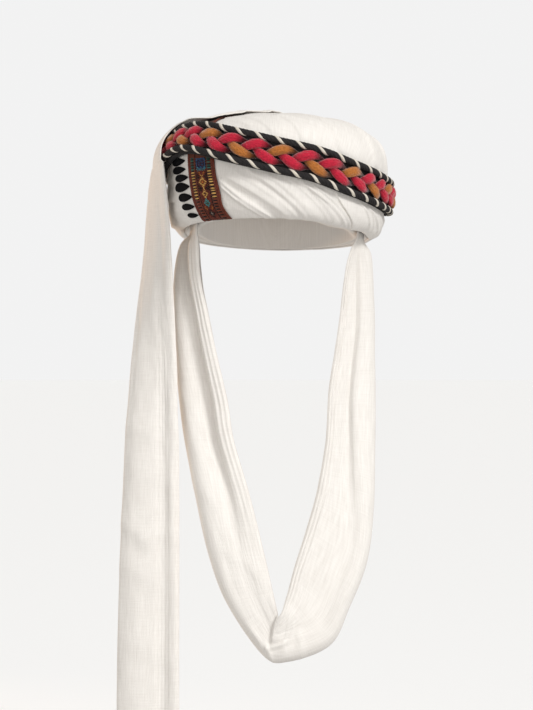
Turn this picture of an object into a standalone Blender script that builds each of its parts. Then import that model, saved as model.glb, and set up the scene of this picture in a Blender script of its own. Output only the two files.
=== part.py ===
"""A wound cotton turban with a plaited wool band, an embroidered border, a tail and a chin loop.

Metres, +Z up, and the front faces -Y. The origin is the middle of the head opening at brow level.
An angle runs round the turban in degrees: 0 at the front, 90 at the +X side, -90 at the -X side.
Every piece is laid on the turban's skin, its outer surface, measured from a point inside it.
"""
import math

import bmesh
import bpy
from mathutils import Vector

MM = 0.001

# Hollow for the head
HEAD_HALF_WIDTH = 78 * MM
HEAD_HALF_DEPTH = 98 * MM
HEAD_STRAIGHT = 25 * MM
HEAD_TOP = 90 * MM
HEAD_POWER = 2.2
CAP_WALL = 7 * MM
CAP_HEM_RISE = 2 * MM

# Outer form of the wound cloth
HALF_WIDTH_MINUS_X = 111.5 * MM
HALF_WIDTH_PLUS_X = 110 * MM
HALF_DEPTH = 125 * MM
PLAN_POWER = 2.15
WIDEST_HEIGHT = 50 * MM
DOME_RISE = 56.5 * MM
DOME_POWER = 2.7
MINUS_X_POWER_DROP = 0.4
SIDE_LEAN = 0.02
LEAN_PASSES = 5
LOWER_TAPER = 0.02
ROLL_DEPTH = 12 * MM
ROLL_HEIGHT = 18 * MM
HEART = Vector((0, 0, 35 * MM))
HALVINGS = 34

# Cloth layers and the gaps between pieces
GAP = 0.3 * MM
SEAT = 0.5 * MM
STRIP_SEAT = 0.8 * MM
TAIL_SEAT = 2.5 * MM
LAYER = 2.4 * MM
LAYER_PROUD = 2.2 * MM
PROUD_FADE = (14, 55)
LAYER_EDGE_LINE = 34
LAYER_END_LINE = -52
LINE_STEP = 1.4
LINE_CLEARANCE = 1.7
BEND_FADE = (3, 30)
LOOP_POCKET = 8.2 * MM
LOOP_ANGLE = 74.5
POCKET_HALF = 18
POCKET_FADE = 5

# Stations round the turban, closer together at the front
STATIONS = 44
FRONT_CROWDING = 0.32

# Height of the rim, in millimetres. Columns: angle, height
RIM = (
    (-135, -19.5), (-90, -11.3), (-45, -4.8), (-10, -2.8), (9, -3.9), (21, -6.3),
    (34, -10.8), (55, -13.0), (72, -18.0), (90, -17.4), (135, -22.0), (180, -24.0),
)

# Height of the braid's middle, in millimetres. Columns: angle, height
BRAID_MIDDLE = (
    (-135, 53), (-90, 64), (-62, 71), (-50, 74), (-38, 73.2), (-20, 65.5), (0, 56),
    (17, 48), (35, 36.5), (63, 26), (90, 24), (135, 31), (180, 42),
)

# Front edge of the outer wrap. Columns: height in millimetres, angle
WRAP_EDGE = ((-12, 42), (7, 32), (20, 27.4), (30, 26), (60, 26))

# Folds of the brow. Columns: from angle, from height, to angle, to height, half width, rise
BROW_FOLDS = (
    (-27, 31, -19, 13, 2.6, 2.0),
    (-19, 13, -9, -1, 2.6, 2.2),
    (-22, 31, -13, 14, 3.0, -1.2),
    (-26, 14.5, -12, 14, 2.6, 1.4),
    (-26, 5, -12, 5, 2.6, 1.4),
    (-21, 34, 5, -2, 6.0, 2.4),
    (-11, 38, 13, 2, 5.5, 1.8),
    (15, 21, 36, -7, 3.0, 1.4),
    (46, 16, 56, -12, 3.6, 1.6),
    (56, 12, 69, -14, 3.6, 1.6),
    (-104, 7, -54, 3, 2.2, -1.3),
    (-150, 40, -100, 22, 6.0, 1.6),
    (-170, 22, -110, 48, 7.0, 1.6),
    (84, 2, 150, 6, 6.0, 1.8),
    (120, -10, 178, 20, 6.0, 1.8),
)

# Folds of the dome. Columns: from x, from y, to x, to y, half width, rise, in millimetres
DOME_FOLDS = (
    (-52, -88, -4, -112, 6.0, 1.0),
    (-46, -72, 40, -100, 9.0, 1.4),
    (-20, -40, 92, -36, 9.0, 1.4),
    (10, 40, 98, 10, 9.0, 1.4),
    (-60, 70, 60, 92, 9.0, 1.6),
)

# Rows of the grid: round the rolled rim, up the brow and its back, over the crown and its hollow
ROLL_TURNS = (88, 58, 29)
BROW_STEPS = 4
BROW_ROWS = len(ROLL_TURNS) + BROW_STEPS + 2
BROW_BACK = (1, 0.5, 0.12)
CROWN_ROWS = 9
HOLLOW_TURNS = (90, 66, 44, 22, 0)

# Braided band
BRAID_SHELF = 19 * MM
SHELF_FADE = 6 * MM
GROUND_HALF_WIDTH = 17.2 * MM
GROUND_THICKNESS = 2 * MM
GROUND_COLUMNS = (-1, -0.5, 0, 0.5, 1)
PLAIT_PERIODS = 11
PLAIT_STEPS = 9
PLAIT_SIDES = 5
PLAIT_SWING = 6.9 * MM
PLAIT_WAVE = 2.9 * MM
STRAND_HALF_WIDTH = 3.6 * MM
STRAND_HALF_THICKNESS = 1.8 * MM
PLAIT_PHASE = 0.94
CORD_RADIUS = 3.3 * MM
CORD_OFFSET = 14.2 * MM
CORD_SIDES = 5
CORD_STATIONS = 60
HUMP_TOP = 15 * MM
HUMP_FADE = 8 * MM

# Embroidered strip. Columns: height in millimetres, angle of its -X edge, angle of its +X edge
STRIP_EDGES = (
    (-5, -43.9, -23.6), (2, -42.8, -24.8), (20, -44.8, -26.0), (39, -46.6, -27.9),
    (60, -47.7, -28.8), (76, -47.6, -30.0), (90, -46.6, -31.3), (99, -46, -31),
    (108, -46, -27),
)
STRIP_THICKNESS = 1.3 * MM
STRIP_CROWN_ROWS = 4
STRIP_COLUMNS = 4
STRIP_MIDDLE_ANGLE = -38
STRIP_CLEARANCE = 14
STRIP_FADE = 24

# Black drops beside the strip. Columns: angle, height, length, half height, in millimetres
TEARDROPS = (
    (-57.2, 54.6, 27.0, 4.5), (-56.3, 46.8, 27.5, 4.8), (-54.0, 38.8, 25.0, 5.0),
    (-53.8, 29.6, 28.0, 5.7), (-51.3, 19.4, 24.0, 5.5), (-49.7, 10.0, 21.5, 4.6),
    (-47.9, 1.6, 17.0, 3.9),
)
DROP_SIDES = 9
DROP_THICKNESS = 1.5 * MM
DROP_TAPER = 1.3
# Section of a drop. Columns: share of its outline, share of its thickness
DROP_LEVELS = ((0.0, 0.0), (1.0, 0.0), (0.96, 0.5), (0.6, 1.0), (0.0, 1.0))

# Tail, in millimetres. Columns: front edge x, y, z, back edge x, y, z, thickness
TAIL = (
    (62, 96, 68, -8, 118, 66, 2.4),
    (46, 62, 90, -32, 98, 84, 2.4),
    (22, 22, 100, -52, 78, 90, 2.6),
    (-6, -16, 100, -70, 58, 90, 2.6),
    (-34, -40, 96, -84, 44, 86, 2.6),
    (-56, -52, 91, -96, 34, 80, 2.8),
    (-76, -50, 85, -106, 26, 76, 3.0),
    (-93, -44, 80, -113, 20, 72, 3.2),
    (-106, -50, 72, -120, 15, 65, 3.4),
    (-112, -60, 62, -126, 12, 56, 3.8),
    (-111.5, -63, 44, -129.5, 10, 44, 4.4),
    (-109.5, -59, 17, -132, 8, 17, 5.0),
    (-106, -54, -40, -136, -2, -40, 6.0),
    (-102.5, -53, -100, -142, -16, -100, 7.0),
    (-99.8, -59, -145, -146, -32, -145, 7.4),
    (-98.4, -66, -190, -149, -46, -190, 7.8),
    (-97.2, -71, -222, -151, -54, -222, 8.0),
    (-97, -77, -276, -153, -63, -276, 8.0),
    (-96.8, -79, -335, -155, -69, -335, 8.0),
    (-96.8, -80, -433, -157.5, -71, -433, 8.0),
    (-96.8, -80, -500, -158, -71, -500, 8.0),
    (-96.8, -80, -560, -158.5, -71, -560, 8.0),
)
TAIL_SECTIONS = 42
RUN_STEP = 0.01
TAIL_CROWDING = 1.3
# Folds across the tail. Columns: place from front edge to back edge, face, share of thickness
TAIL_FACE = (
    (0.0, 0.15), (0.1, 0.55), (0.22, 0.8), (0.34, 0.35), (0.5, 0.6), (0.66, 1.0), (0.84, 0.8),
    (1.0, 0.15),
)
TAIL_BACK = ((0.8, -0.2), (0.5, -0.2), (0.2, -0.2))

# Chin loop, in millimetres. Columns: inner edge x, y, z, outer edge x, y, z, bulge
CHIN_LOOP = (
    (-80.0, -44.6, 10, -87.9, -3.1, 10, 2.2),
    (-80.0, -44.6, -1, -87.9, -3.1, -1, 2.2),
    (-80.0, -44.6, -13, -87.9, -3.1, -14, 2.4),
    (-78, -46, -26, -98.0, -5, -27, 5.0),
    (-75.4, -48, -55, -102.4, -10, -54, 7.5),
    (-68.3, -52, -90, -103.4, -18, -89, 9.0),
    (-59, -58, -133, -101.8, -28, -133, 10.0),
    (-47.8, -68, -181, -97.4, -40, -181, 10.5),
    (-41.7, -78, -219, -91.8, -54, -220, 10.5),
    (-25.9, -92, -274, -80.2, -78, -275, 10.5),
    (-12.2, -103, -330, -66.7, -96, -331, 10.0),
    (-3.4, -110, -368, -48.1, -106, -378, 9.5),
    (0.4, -113, -385, -13.2, -111, -427, 8.0),
    (3.4, -115, -385, 11, -113, -432, 8.0),
    (9, -112, -367, 50.9, -108, -417, 9.5),
    (17, -106, -339, 69.5, -102, -382, 10.5),
    (30.7, -97, -297, 87.6, -88, -338, 11.0),
    (39.7, -90, -265, 94.6, -74, -288, 11.0),
    (48.5, -78, -219, 96.8, -56, -225, 10.5),
    (52.1, -66, -169, 97.6, -40, -170, 10.0),
    (58.7, -58, -133, 97.1, -30, -133, 10.0),
    (65.2, -52, -93, 96.7, -20, -92, 9.0),
    (69.9, -48, -55, 95.2, -12, -54, 7.5),
    (74.6, -46, -31, 94.2, -7, -33, 5.0),
    (80.0, -44.6, -17, 87.9, -3.1, -21, 2.4),
    (80.0, -44.6, -4, 87.9, -3.1, -4, 2.2),
    (80.0, -44.6, 8, 87.9, -3.1, 8, 2.2),
)
LOOP_SECTIONS = 53
# Folds across the loop. Columns: place from inner edge to outer edge, share of bulge
LOOP_FACE = (
    (0.0, 0.1), (0.08, 0.3), (0.19, 0.3), (0.28, 0.02), (0.42, 0.55), (0.6, 0.95), (0.8, 0.8),
    (0.94, 0.4), (1.0, 0.0),
)
LOOP_BACK = ((0.9, -0.3), (0.6, -0.35), (0.25, -0.3), (0.06, -0.2))

CLOTH = ("white_cotton", (0.87, 0.85, 0.81), 0.9)
EMBROIDERY = ("brown_embroidery", (0.20, 0.08, 0.05), 0.85)
BLACK = ("black_thread", (0.02, 0.02, 0.022), 0.8)
RED = ("red_wool", (0.62, 0.04, 0.07), 0.95)
ORANGE = ("orange_wool", (0.62, 0.26, 0.05), 0.95)


def clear_scene():
    for item in list(bpy.data.objects):
        bpy.data.objects.remove(item)


def ramp(value, start, end):
    """0 up to start, 1 from end on, and smooth between them."""
    share = min(1.0, max(0.0, (value - start) / (end - start)))
    return share * share * (3 - 2 * share)


def read(rows, place, turn=0.0):
    """The columns of a table at a place in its first column; turn closes it round a full turn."""
    rows = [tuple(row) for row in rows]
    if turn:
        before = tuple([rows[-1][0] - turn, *rows[-1][1:]])
        before_that = tuple([rows[-2][0] - turn, *rows[-2][1:]])
        after = [tuple([row[0] + turn, *row[1:]]) for row in rows[:3]]
        rows = [before_that, before, *rows, *after]
        place = rows[2][0] + (place - rows[2][0]) % turn
    place = min(rows[-1][0], max(rows[0][0], place))
    spot = next(i for i in range(len(rows) - 1) if place <= rows[i + 1][0])
    low, high = rows[spot], rows[spot + 1]
    before, after = rows[max(spot - 1, 0)], rows[min(spot + 2, len(rows) - 1)]
    width = high[0] - low[0]
    t = (place - low[0]) / width
    values = []
    for column in range(1, len(low)):
        rise_low = (high[column] - before[column]) / (high[0] - before[0]) * width
        rise_high = (after[column] - low[column]) / (after[0] - low[0]) * width
        values.append(
            (2 * t**3 - 3 * t**2 + 1) * low[column] + (t**3 - 2 * t**2 + t) * rise_low
            + (3 * t**2 - 2 * t**3) * high[column] + (t**3 - t**2) * rise_high
        )
    return values


def along(rows, share):
    """A table's columns at a share of its length, all rows being one step apart."""
    numbered = [(index, *row) for index, row in enumerate(rows)]
    return read(numbered, share * (len(rows) - 1))


def heading(angle):
    turn = math.radians(angle)
    return Vector((math.sin(turn), -math.cos(turn), 0))


def rim_height(angle):
    return read(RIM, angle, 360)[0] * MM


def braid_height(angle):
    return read(BRAID_MIDDLE, angle, 360)[0] * MM


def head_radius(angle):
    way = heading(angle)
    return 1 / math.hypot(way.x / HEAD_HALF_WIDTH, way.y / HEAD_HALF_DEPTH)


def plan_radius(angle):
    way = heading(angle)
    half_width = HALF_WIDTH_PLUS_X if way.x > 0 else HALF_WIDTH_MINUS_X
    across = abs(way.x / half_width) ** PLAN_POWER + abs(way.y / HALF_DEPTH) ** PLAN_POWER
    return across ** (-1 / PLAN_POWER)


def wall_radius(angle, height):
    """Distance of the smooth outside from the upright axis."""
    plan, side = plan_radius(angle), math.sin(math.radians(angle))
    power = DOME_POWER - MINUS_X_POWER_DROP * max(0.0, -side)
    radius = plan
    for _ in range(LEAN_PASSES):
        level = height + SIDE_LEAN * radius * side - WIDEST_HEIGHT
        if level > 0:
            share = min(1.0, level / DOME_RISE)
            radius = plan * (1 - share**power) ** (1 / power)
        else:
            radius = plan * (1 - LOWER_TAPER * (level / WIDEST_HEIGHT) ** 2)
    low = 1 - (height - rim_height(angle)) / ROLL_HEIGHT
    if low > 0:
        low = min(1.0, low)
        radius -= ROLL_DEPTH * (1 - math.sqrt(1 - low * low))
    return radius


def ray(angle, climb):
    """Direction from the heart, climb degrees above the horizontal."""
    turn = math.radians(climb)
    return heading(angle) * math.cos(turn) + Vector((0, 0, math.sin(turn)))


def skin_distance(angle, climb):
    """Distance of the smooth outside from the heart."""
    way = ray(angle, climb)
    level = math.hypot(way.x, way.y)
    near, far = 0.0, 2 * HALF_DEPTH
    for _ in range(HALVINGS):
        middle = (near + far) / 2
        if level * middle < wall_radius(angle, HEART.z + way.z * middle):
            near = middle
        else:
            far = middle
    return near


def ridge(row, x, y):
    """Height of one fold at a place in its own plane, in millimetres."""
    from_x, from_y, to_x, to_y, half_width, rise = row
    run = Vector((to_x - from_x, to_y - from_y))
    offset = Vector((x - from_x, y - from_y))
    travel = offset.dot(run) / run.length_squared
    past_end = max(0.0, -travel, travel - 1) * run.length
    aside = abs(offset.x * run.y - offset.y * run.x) / run.length
    return rise * math.exp(-((aside / half_width) ** 2) - (past_end / (2 * half_width)) ** 2)


def wrap_edge(height):
    return read(WRAP_EDGE, height / MM)[0]


def relief(angle, spot):
    """How far folds and the outer wrap's edge stand out of the smooth skin."""
    middle = braid_height(angle)
    clear = ramp(abs(spot.z - middle), BRAID_SHELF, BRAID_SHELF + SHELF_FADE)
    if spot.z > middle:
        rise = sum(ridge(row, spot.x / MM, spot.y / MM) for row in DOME_FOLDS)
        return clear * rise * MM
    round_skin = math.radians(HALF_DEPTH / MM)
    rise = 0.0
    for row in BROW_FOLDS:
        unrolled = (row[0] * round_skin, row[1], row[2] * round_skin, row[3], row[4], row[5])
        rise += ridge(unrolled, angle * round_skin, spot.z / MM)
    past = angle - wrap_edge(spot.z)
    proud = LAYER_PROUD * ramp(past, -LINE_STEP, 0) * (1 - ramp(past, *PROUD_FADE))
    return clear * (rise * MM + proud)


def skin_point(angle, climb, lift=0.0):
    """A point of the folded outside, raised by lift."""
    angle = (angle + 180) % 360 - 180
    distance = skin_distance(angle, climb)
    way = ray(angle, climb)
    spot = HEART + way * distance
    return HEART + way * (distance + relief(angle, spot) + lift)


def angles_of(point):
    """Angle and climb of a point, seen from the heart."""
    offset = point - HEART
    angle = math.degrees(math.atan2(offset.x, -offset.y))
    return angle, math.degrees(math.atan2(offset.z, math.hypot(offset.x, offset.y)))


def climb_at(angle, height):
    """The climb at which the skin has this height."""
    return math.degrees(math.atan2(height - HEART.z, wall_radius(angle, height)))


def stations():
    """Angles of the grid's lines, with a close pair at each end of the outer wrap."""
    turns = [360 * index / STATIONS - 180 for index in range(STATIONS)]
    crowd = math.degrees(FRONT_CROWDING)
    lines = [turn - crowd * math.sin(math.radians(turn)) for turn in turns]
    for end, inside in ((LAYER_EDGE_LINE, -LINE_STEP), (LAYER_END_LINE, LINE_STEP)):
        lines = [line for line in lines if abs(line - end - inside / 2) > LINE_CLEARANCE]
        lines += [end, end + inside]
    return sorted(lines)


def brow_heights(angle):
    """Heights of the brow's rows: round the rolled rim, up to the braid's edge, and the seam."""
    rim, middle = rim_height(angle), braid_height(angle)
    heights = [rim + ROLL_HEIGHT * (1 - math.sin(math.radians(turn))) for turn in ROLL_TURNS]
    top, shelf = rim + ROLL_HEIGHT, middle - BRAID_SHELF
    heights += [top + (shelf - top) * step / BROW_STEPS for step in range(BROW_STEPS + 1)]
    return heights + [middle - GAP]


def brow_spot(angle, row, lift=0.0):
    """A point of the brow's grid, whose lines bend to follow the outer wrap's slanted edge."""
    turn = wrap_edge(brow_heights(angle)[row]) - LAYER_EDGE_LINE
    bent = angle + turn * (1 - ramp(abs(angle - LAYER_EDGE_LINE), *BEND_FADE))
    return skin_point(bent, climb_at(bent, brow_heights(bent)[row]), lift)


def crown_climbs(angle):
    """Climbs of the crown's rows: the seam, the braid's upper edge, then up to the top."""
    middle = braid_height(angle)
    start = climb_at(angle, middle + BRAID_SHELF)
    climbs = [start + (90 - start) * (step / (CROWN_ROWS - 1)) for step in range(CROWN_ROWS)]
    return [climb_at(angle, middle + GAP), *climbs]


def skin_mesh(name, rows, look, ring=False, tube=True):
    """Lay a grid over rows of points, weld it where it meets itself, and close its ends."""
    mesh = bpy.data.meshes.new(name)
    steps, width = len(rows), len(rows[0])
    shape = bmesh.new()
    bmesh.ops.create_grid(
        shape, x_segments=steps if ring else steps - 1, y_segments=width if tube else width - 1,
        size=0.5,
    )
    line = steps + 1 if ring else steps
    for index, vert in enumerate(shape.verts):
        vert.co = rows[index % line % steps][index // line % width]
    bmesh.ops.remove_doubles(shape, verts=shape.verts, dist=1e-6)
    open_edges = [edge for edge in shape.edges if edge.is_boundary]
    if open_edges:
        bmesh.ops.holes_fill(shape, edges=open_edges)
    bmesh.ops.triangulate(shape, faces=shape.faces, quad_method="FIXED")
    bmesh.ops.recalc_face_normals(shape, faces=shape.faces)
    shape.to_mesh(mesh)
    shape.free()
    mesh.shade_smooth()
    piece = bpy.data.objects.new(name, mesh)
    bpy.context.collection.objects.link(piece)
    mesh.materials.append(material(*look))
    return piece


def material(name, colour, roughness):
    if name in bpy.data.materials:
        return bpy.data.materials[name]
    look = bpy.data.materials.new(name)
    look.use_nodes = True
    shader = look.node_tree.nodes["Principled BSDF"]
    shader.inputs["Base Color"].default_value = (*colour, 1)
    shader.inputs["Roughness"].default_value = roughness
    shader.inputs["Metallic"].default_value = 0
    return look


def crown_wrap():
    """The hollow wound cap: head hollow, hidden wall behind the brow roll, and the dome."""
    rows = []
    for angle in stations():
        way = heading(angle)
        inner = head_radius(angle)
        section = []
        for turn in HOLLOW_TURNS:
            side, rise = math.cos(math.radians(turn)), math.sin(math.radians(turn))
            radius = inner * max(0.0, side) ** (2 / HEAD_POWER) if turn < 90 else 0.0
            height = HEAD_STRAIGHT + (HEAD_TOP - HEAD_STRAIGHT) * rise ** (2 / HEAD_POWER)
            section.append(way * radius + Vector((0, 0, height)))
        hem = Vector((0, 0, rim_height(angle) + CAP_HEM_RISE))
        seam = Vector((0, 0, braid_height(angle) + GAP))
        section.append(way * inner + hem)
        section.append(way * (inner + CAP_WALL) + hem)
        section.append(way * (inner + CAP_WALL) + seam)
        section += [skin_point(angle, climb) for climb in crown_climbs(angle)]
        rows.append(section)
    top = sum((section[-1] for section in rows), Vector()) / len(rows)
    for section in rows:
        section[-1] = top
    return skin_mesh("crown_wrap", rows, CLOTH, ring=True, tube=False)


def brow_wrap():
    """The thick roll round the brow, sunk by one layer where the outer wrap covers it."""
    rows = []
    for angle in stations():
        way = heading(angle)
        shows = LAYER_END_LINE < angle < LAYER_EDGE_LINE
        lift = 0.0 if shows else -(LAYER + GAP)
        section = [brow_spot(angle, row, lift) for row in range(BROW_ROWS)]
        pocket = 1 - ramp(abs(abs(angle) - LOOP_ANGLE), POCKET_HALF, POCKET_HALF + POCKET_FADE)
        inner = head_radius(angle) + CAP_WALL + GAP + LOOP_POCKET * pocket
        rim, seam = rim_height(angle), braid_height(angle) - GAP
        for share in BROW_BACK:
            section.append(way * inner + Vector((0, 0, rim + (seam - rim) * share)))
        rows.append(section)
    return skin_mesh("brow_wrap", rows, CLOTH, ring=True)


def outer_wrap():
    """The last turn of cloth, from its edge at the right of the brow round to the left."""
    lines = stations()
    front, end = lines.index(LAYER_EDGE_LINE), lines.index(LAYER_END_LINE)
    rows = []
    for angle in lines[front:] + lines[:end + 1]:
        face = [brow_spot(angle, row) for row in range(BROW_ROWS)]
        back = [brow_spot(angle, row, -LAYER) for row in range(BROW_ROWS)]
        rows.append(back + face[::-1])
    return skin_mesh("outer_wrap", rows, CLOTH)


def embroidered_strip():
    """The embroidered border, from under the rim up over the dome, passing behind the braid."""
    middle = STRIP_MIDDLE_ANGLE
    rows = []
    for index in range(BROW_ROWS + STRIP_CROWN_ROWS):
        on_crown = index - BROW_ROWS + 1
        if on_crown > 0:
            height = skin_point(middle, crown_climbs(middle)[on_crown]).z
        else:
            height = brow_heights(middle)[index]
        start, end = read(STRIP_EDGES, height / MM)
        face, back = [], []
        for step in range(STRIP_COLUMNS + 1):
            angle = start + (end - start) * step / STRIP_COLUMNS
            if on_crown > 0:
                climb = crown_climbs(angle)[on_crown]
            else:
                climb = climb_at(angle, brow_heights(angle)[index])
            face.append(skin_point(angle, climb, STRIP_SEAT + STRIP_THICKNESS))
            back.append(skin_point(angle, climb, STRIP_SEAT))
        rows.append(back + face[::-1])
    return skin_mesh("embroidered_strip", rows, EMBROIDERY)


def teardrop(number, angle, height, length, half_height):
    """A flat drop with a round end at -X and its point towards the strip."""
    climb = climb_at(angle, height * MM)
    middle = skin_point(angle, climb)
    side = (skin_point(angle + 1, climb) - skin_point(angle - 1, climb)).normalized()
    rise = side.cross(heading(angle)).normalized()
    if rise.z < 0:
        rise = -rise
    rows = []
    for scale, share in DROP_LEVELS:
        lift = SEAT + DROP_THICKNESS * share
        row = []
        for step in range(DROP_SIDES):
            turn = 2 * math.pi * step / DROP_SIDES
            taper = math.sin(turn / 2) ** DROP_TAPER
            aside = length * MM / 2 * math.cos(turn)
            up = half_height * MM * math.sin(turn) * taper
            spot = middle + side * aside * scale + rise * up * scale
            row.append(skin_point(*angles_of(spot), lift))
        rows.append(row)
    for row in (rows[0], rows[-1]):
        row[:] = [sum(row, Vector()) / DROP_SIDES] * DROP_SIDES
    return skin_mesh(f"teardrop_{number}", rows, BLACK)


def braid_lift(angle):
    """The band rises a little where it passes over the embroidered strip."""
    away = abs((angle - STRIP_MIDDLE_ANGLE + 180) % 360 - 180)
    over_strip = 1 - ramp(away, STRIP_CLEARANCE, STRIP_CLEARANCE + STRIP_FADE)
    return SEAT + (STRIP_SEAT + STRIP_THICKNESS + GAP) * over_strip


def on_band(angle, across, out):
    """A point of the braid: across is up over the band, out is away from the skin."""
    def seat(at):
        return heading(at) * wall_radius(at, braid_height(at)) + Vector((0, 0, braid_height(at)))
    run = (seat(angle + 1) - seat(angle - 1)).normalized()
    height = braid_height(angle)
    reach = GROUND_HALF_WIDTH / 2
    higher = heading(angle) * wall_radius(angle, height + reach)
    lower = heading(angle) * wall_radius(angle, height - reach)
    away = run.cross(higher - lower + Vector((0, 0, 2 * reach))).normalized()
    up = away.cross(run).normalized()
    return seat(angle) + up * across + away * (out + braid_lift(angle))


def braid_ground():
    """The black band under the plait; its back follows the skin."""
    rows = []
    for angle in stations():
        places = [GROUND_HALF_WIDTH * share for share in GROUND_COLUMNS]
        face = [on_band(angle, place, GROUND_THICKNESS) for place in places]
        back = []
        for point in face:
            around, climb = angles_of(point)
            back.append(HEART + ray(around, climb) * (skin_distance(around, climb) + braid_lift(angle)))
        rows.append(back + face[::-1])
    return skin_mesh("braid_ground", rows, BLACK, ring=True)


def plait_strand(name, number, look):
    """One of three strands: it swings across the band once a period and waves in and out twice."""
    count = PLAIT_PERIODS * PLAIT_STEPS
    base = GROUND_THICKNESS + GAP + PLAIT_WAVE + STRAND_HALF_THICKNESS

    def centre(step):
        angle = 360 * step / count - 180
        phase = 2 * math.pi * (step / PLAIT_STEPS + PLAIT_PHASE + number / 3)
        across = PLAIT_SWING * math.sin(phase)
        return angle, across, base + PLAIT_WAVE * math.sin(2 * phase)

    rows = []
    for step in range(count):
        angle, across, out = centre(step)
        ahead, behind = on_band(*centre(step + 1)), on_band(*centre(step - 1))
        run = (ahead - behind).normalized()
        away = (on_band(angle, across, out + MM) - on_band(angle, across, out)).normalized()
        side = away.cross(run).normalized()
        away = run.cross(side).normalized()
        middle = on_band(angle, across, out)
        row = []
        for corner in range(PLAIT_SIDES):
            turn = 2 * math.pi * corner / PLAIT_SIDES
            wide = side * STRAND_HALF_WIDTH * math.cos(turn)
            row.append(middle + wide + away * STRAND_HALF_THICKNESS * math.sin(turn))
        rows.append(row)
    return skin_mesh(name, rows, look, ring=True)


def edge_cord(name, across):
    rows = []
    for step in range(CORD_STATIONS):
        angle = 360 * step / CORD_STATIONS - 180
        row = []
        for corner in range(CORD_SIDES):
            turn = 2 * math.pi * (corner + 0.5) / CORD_SIDES + math.pi / 2
            out = GROUND_THICKNESS + GAP + CORD_RADIUS + CORD_RADIUS * math.sin(turn)
            row.append(on_band(angle, across + CORD_RADIUS * math.cos(turn), out))
        rows.append(row)
    return skin_mesh(name, rows, BLACK, ring=True)


def push_out(point, spare):
    """Move a point that would be inside the turban or its braid out to just clear of them."""
    angle, climb = angles_of(point)
    offset = point - HEART
    spot = skin_point(angle, climb)
    aside = abs(spot.z - braid_height(angle))
    hump = GROUND_THICKNESS + GAP + 2 * (PLAIT_WAVE + STRAND_HALF_THICKNESS) + braid_lift(angle)
    cover = hump * (1 - ramp(aside, HUMP_TOP, HUMP_TOP + HUMP_FADE)) + TAIL_SEAT
    if point.z < rim_height(angle):
        return point
    reach = (spot - HEART).length + cover + spare
    return HEART + offset.normalized() * max(offset.length, reach)


def cloth_band(table, sections, crowding, face, back):
    """Sections of a folded band of cloth between two edges, crowded towards its start."""
    rows = []
    for step in range(sections):
        share = (step / (sections - 1)) ** crowding
        values = along(table, share)
        start, end = Vector(values[0:3]) * MM, Vector(values[3:6]) * MM
        ahead = along(table, min(1, share + RUN_STEP))
        behind = along(table, max(0, share - RUN_STEP))
        run = Vector(ahead[0:3]) + Vector(ahead[3:6]) - Vector(behind[0:3]) - Vector(behind[3:6])
        away = (end - start).cross(run).normalized()
        depth = values[6] * MM
        rows.append([start.lerp(end, place) + away * depth * rise for place, rise in face + back])
    return rows


def tail():
    """The free end: over the dome and the braid, then hanging in long folds to a plain hem."""
    rows = cloth_band(TAIL, TAIL_SECTIONS, TAIL_CROWDING, TAIL_FACE, TAIL_BACK)
    for row in rows:
        for index, point in enumerate(row):
            if push_out(point, 0.0) != point:
                row[index] = push_out(point, LAYER if index < len(TAIL_FACE) else 0.0)
    return skin_mesh("tail", rows, CLOTH)


def chin_loop():
    """The wide loop whose ends are tucked up behind the brow roll."""
    rows = cloth_band(CHIN_LOOP, LOOP_SECTIONS, 1, LOOP_FACE, LOOP_BACK)
    return skin_mesh("chin_loop", rows, CLOTH)


def main():
    clear_scene()
    crown_wrap()
    brow_wrap()
    outer_wrap()
    embroidered_strip()
    for number, row in enumerate(TEARDROPS, 1):
        teardrop(number, *row)
    braid_ground()
    plait_strand("plait_red_a", 0, RED)
    plait_strand("plait_red_b", 1, RED)
    plait_strand("plait_orange", 2, ORANGE)
    edge_cord("edge_cord_upper", CORD_OFFSET)
    edge_cord("edge_cord_lower", -CORD_OFFSET)
    tail()
    chin_loop()


main()
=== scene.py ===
"""The looks of a wound white cotton turban with a plaited wool band, a tail and a chin loop.

Sizes and places here are millimetres. lay_grid and copies turn them into metres.
An angle runs round the turban in degrees: 0 at the front, 90 at the +X side, -90 at the -X side.
"""
import math

import bmesh
import bpy
import numpy as np
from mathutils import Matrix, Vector


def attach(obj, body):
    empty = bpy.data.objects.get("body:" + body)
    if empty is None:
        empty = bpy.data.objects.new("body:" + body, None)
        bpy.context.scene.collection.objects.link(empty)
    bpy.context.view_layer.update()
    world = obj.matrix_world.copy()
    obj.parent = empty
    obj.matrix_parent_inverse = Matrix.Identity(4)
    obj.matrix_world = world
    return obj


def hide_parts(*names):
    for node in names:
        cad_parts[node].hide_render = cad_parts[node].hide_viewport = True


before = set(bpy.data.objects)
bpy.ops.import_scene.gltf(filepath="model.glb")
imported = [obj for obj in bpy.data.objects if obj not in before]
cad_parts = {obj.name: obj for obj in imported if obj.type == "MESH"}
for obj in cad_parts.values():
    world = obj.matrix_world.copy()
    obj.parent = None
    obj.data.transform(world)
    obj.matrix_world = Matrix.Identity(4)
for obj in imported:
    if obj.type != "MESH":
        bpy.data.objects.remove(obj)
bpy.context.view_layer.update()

MM = 0.001
# Points of a grid this near to each other, in metres, become one
WELD = 1e-7

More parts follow.
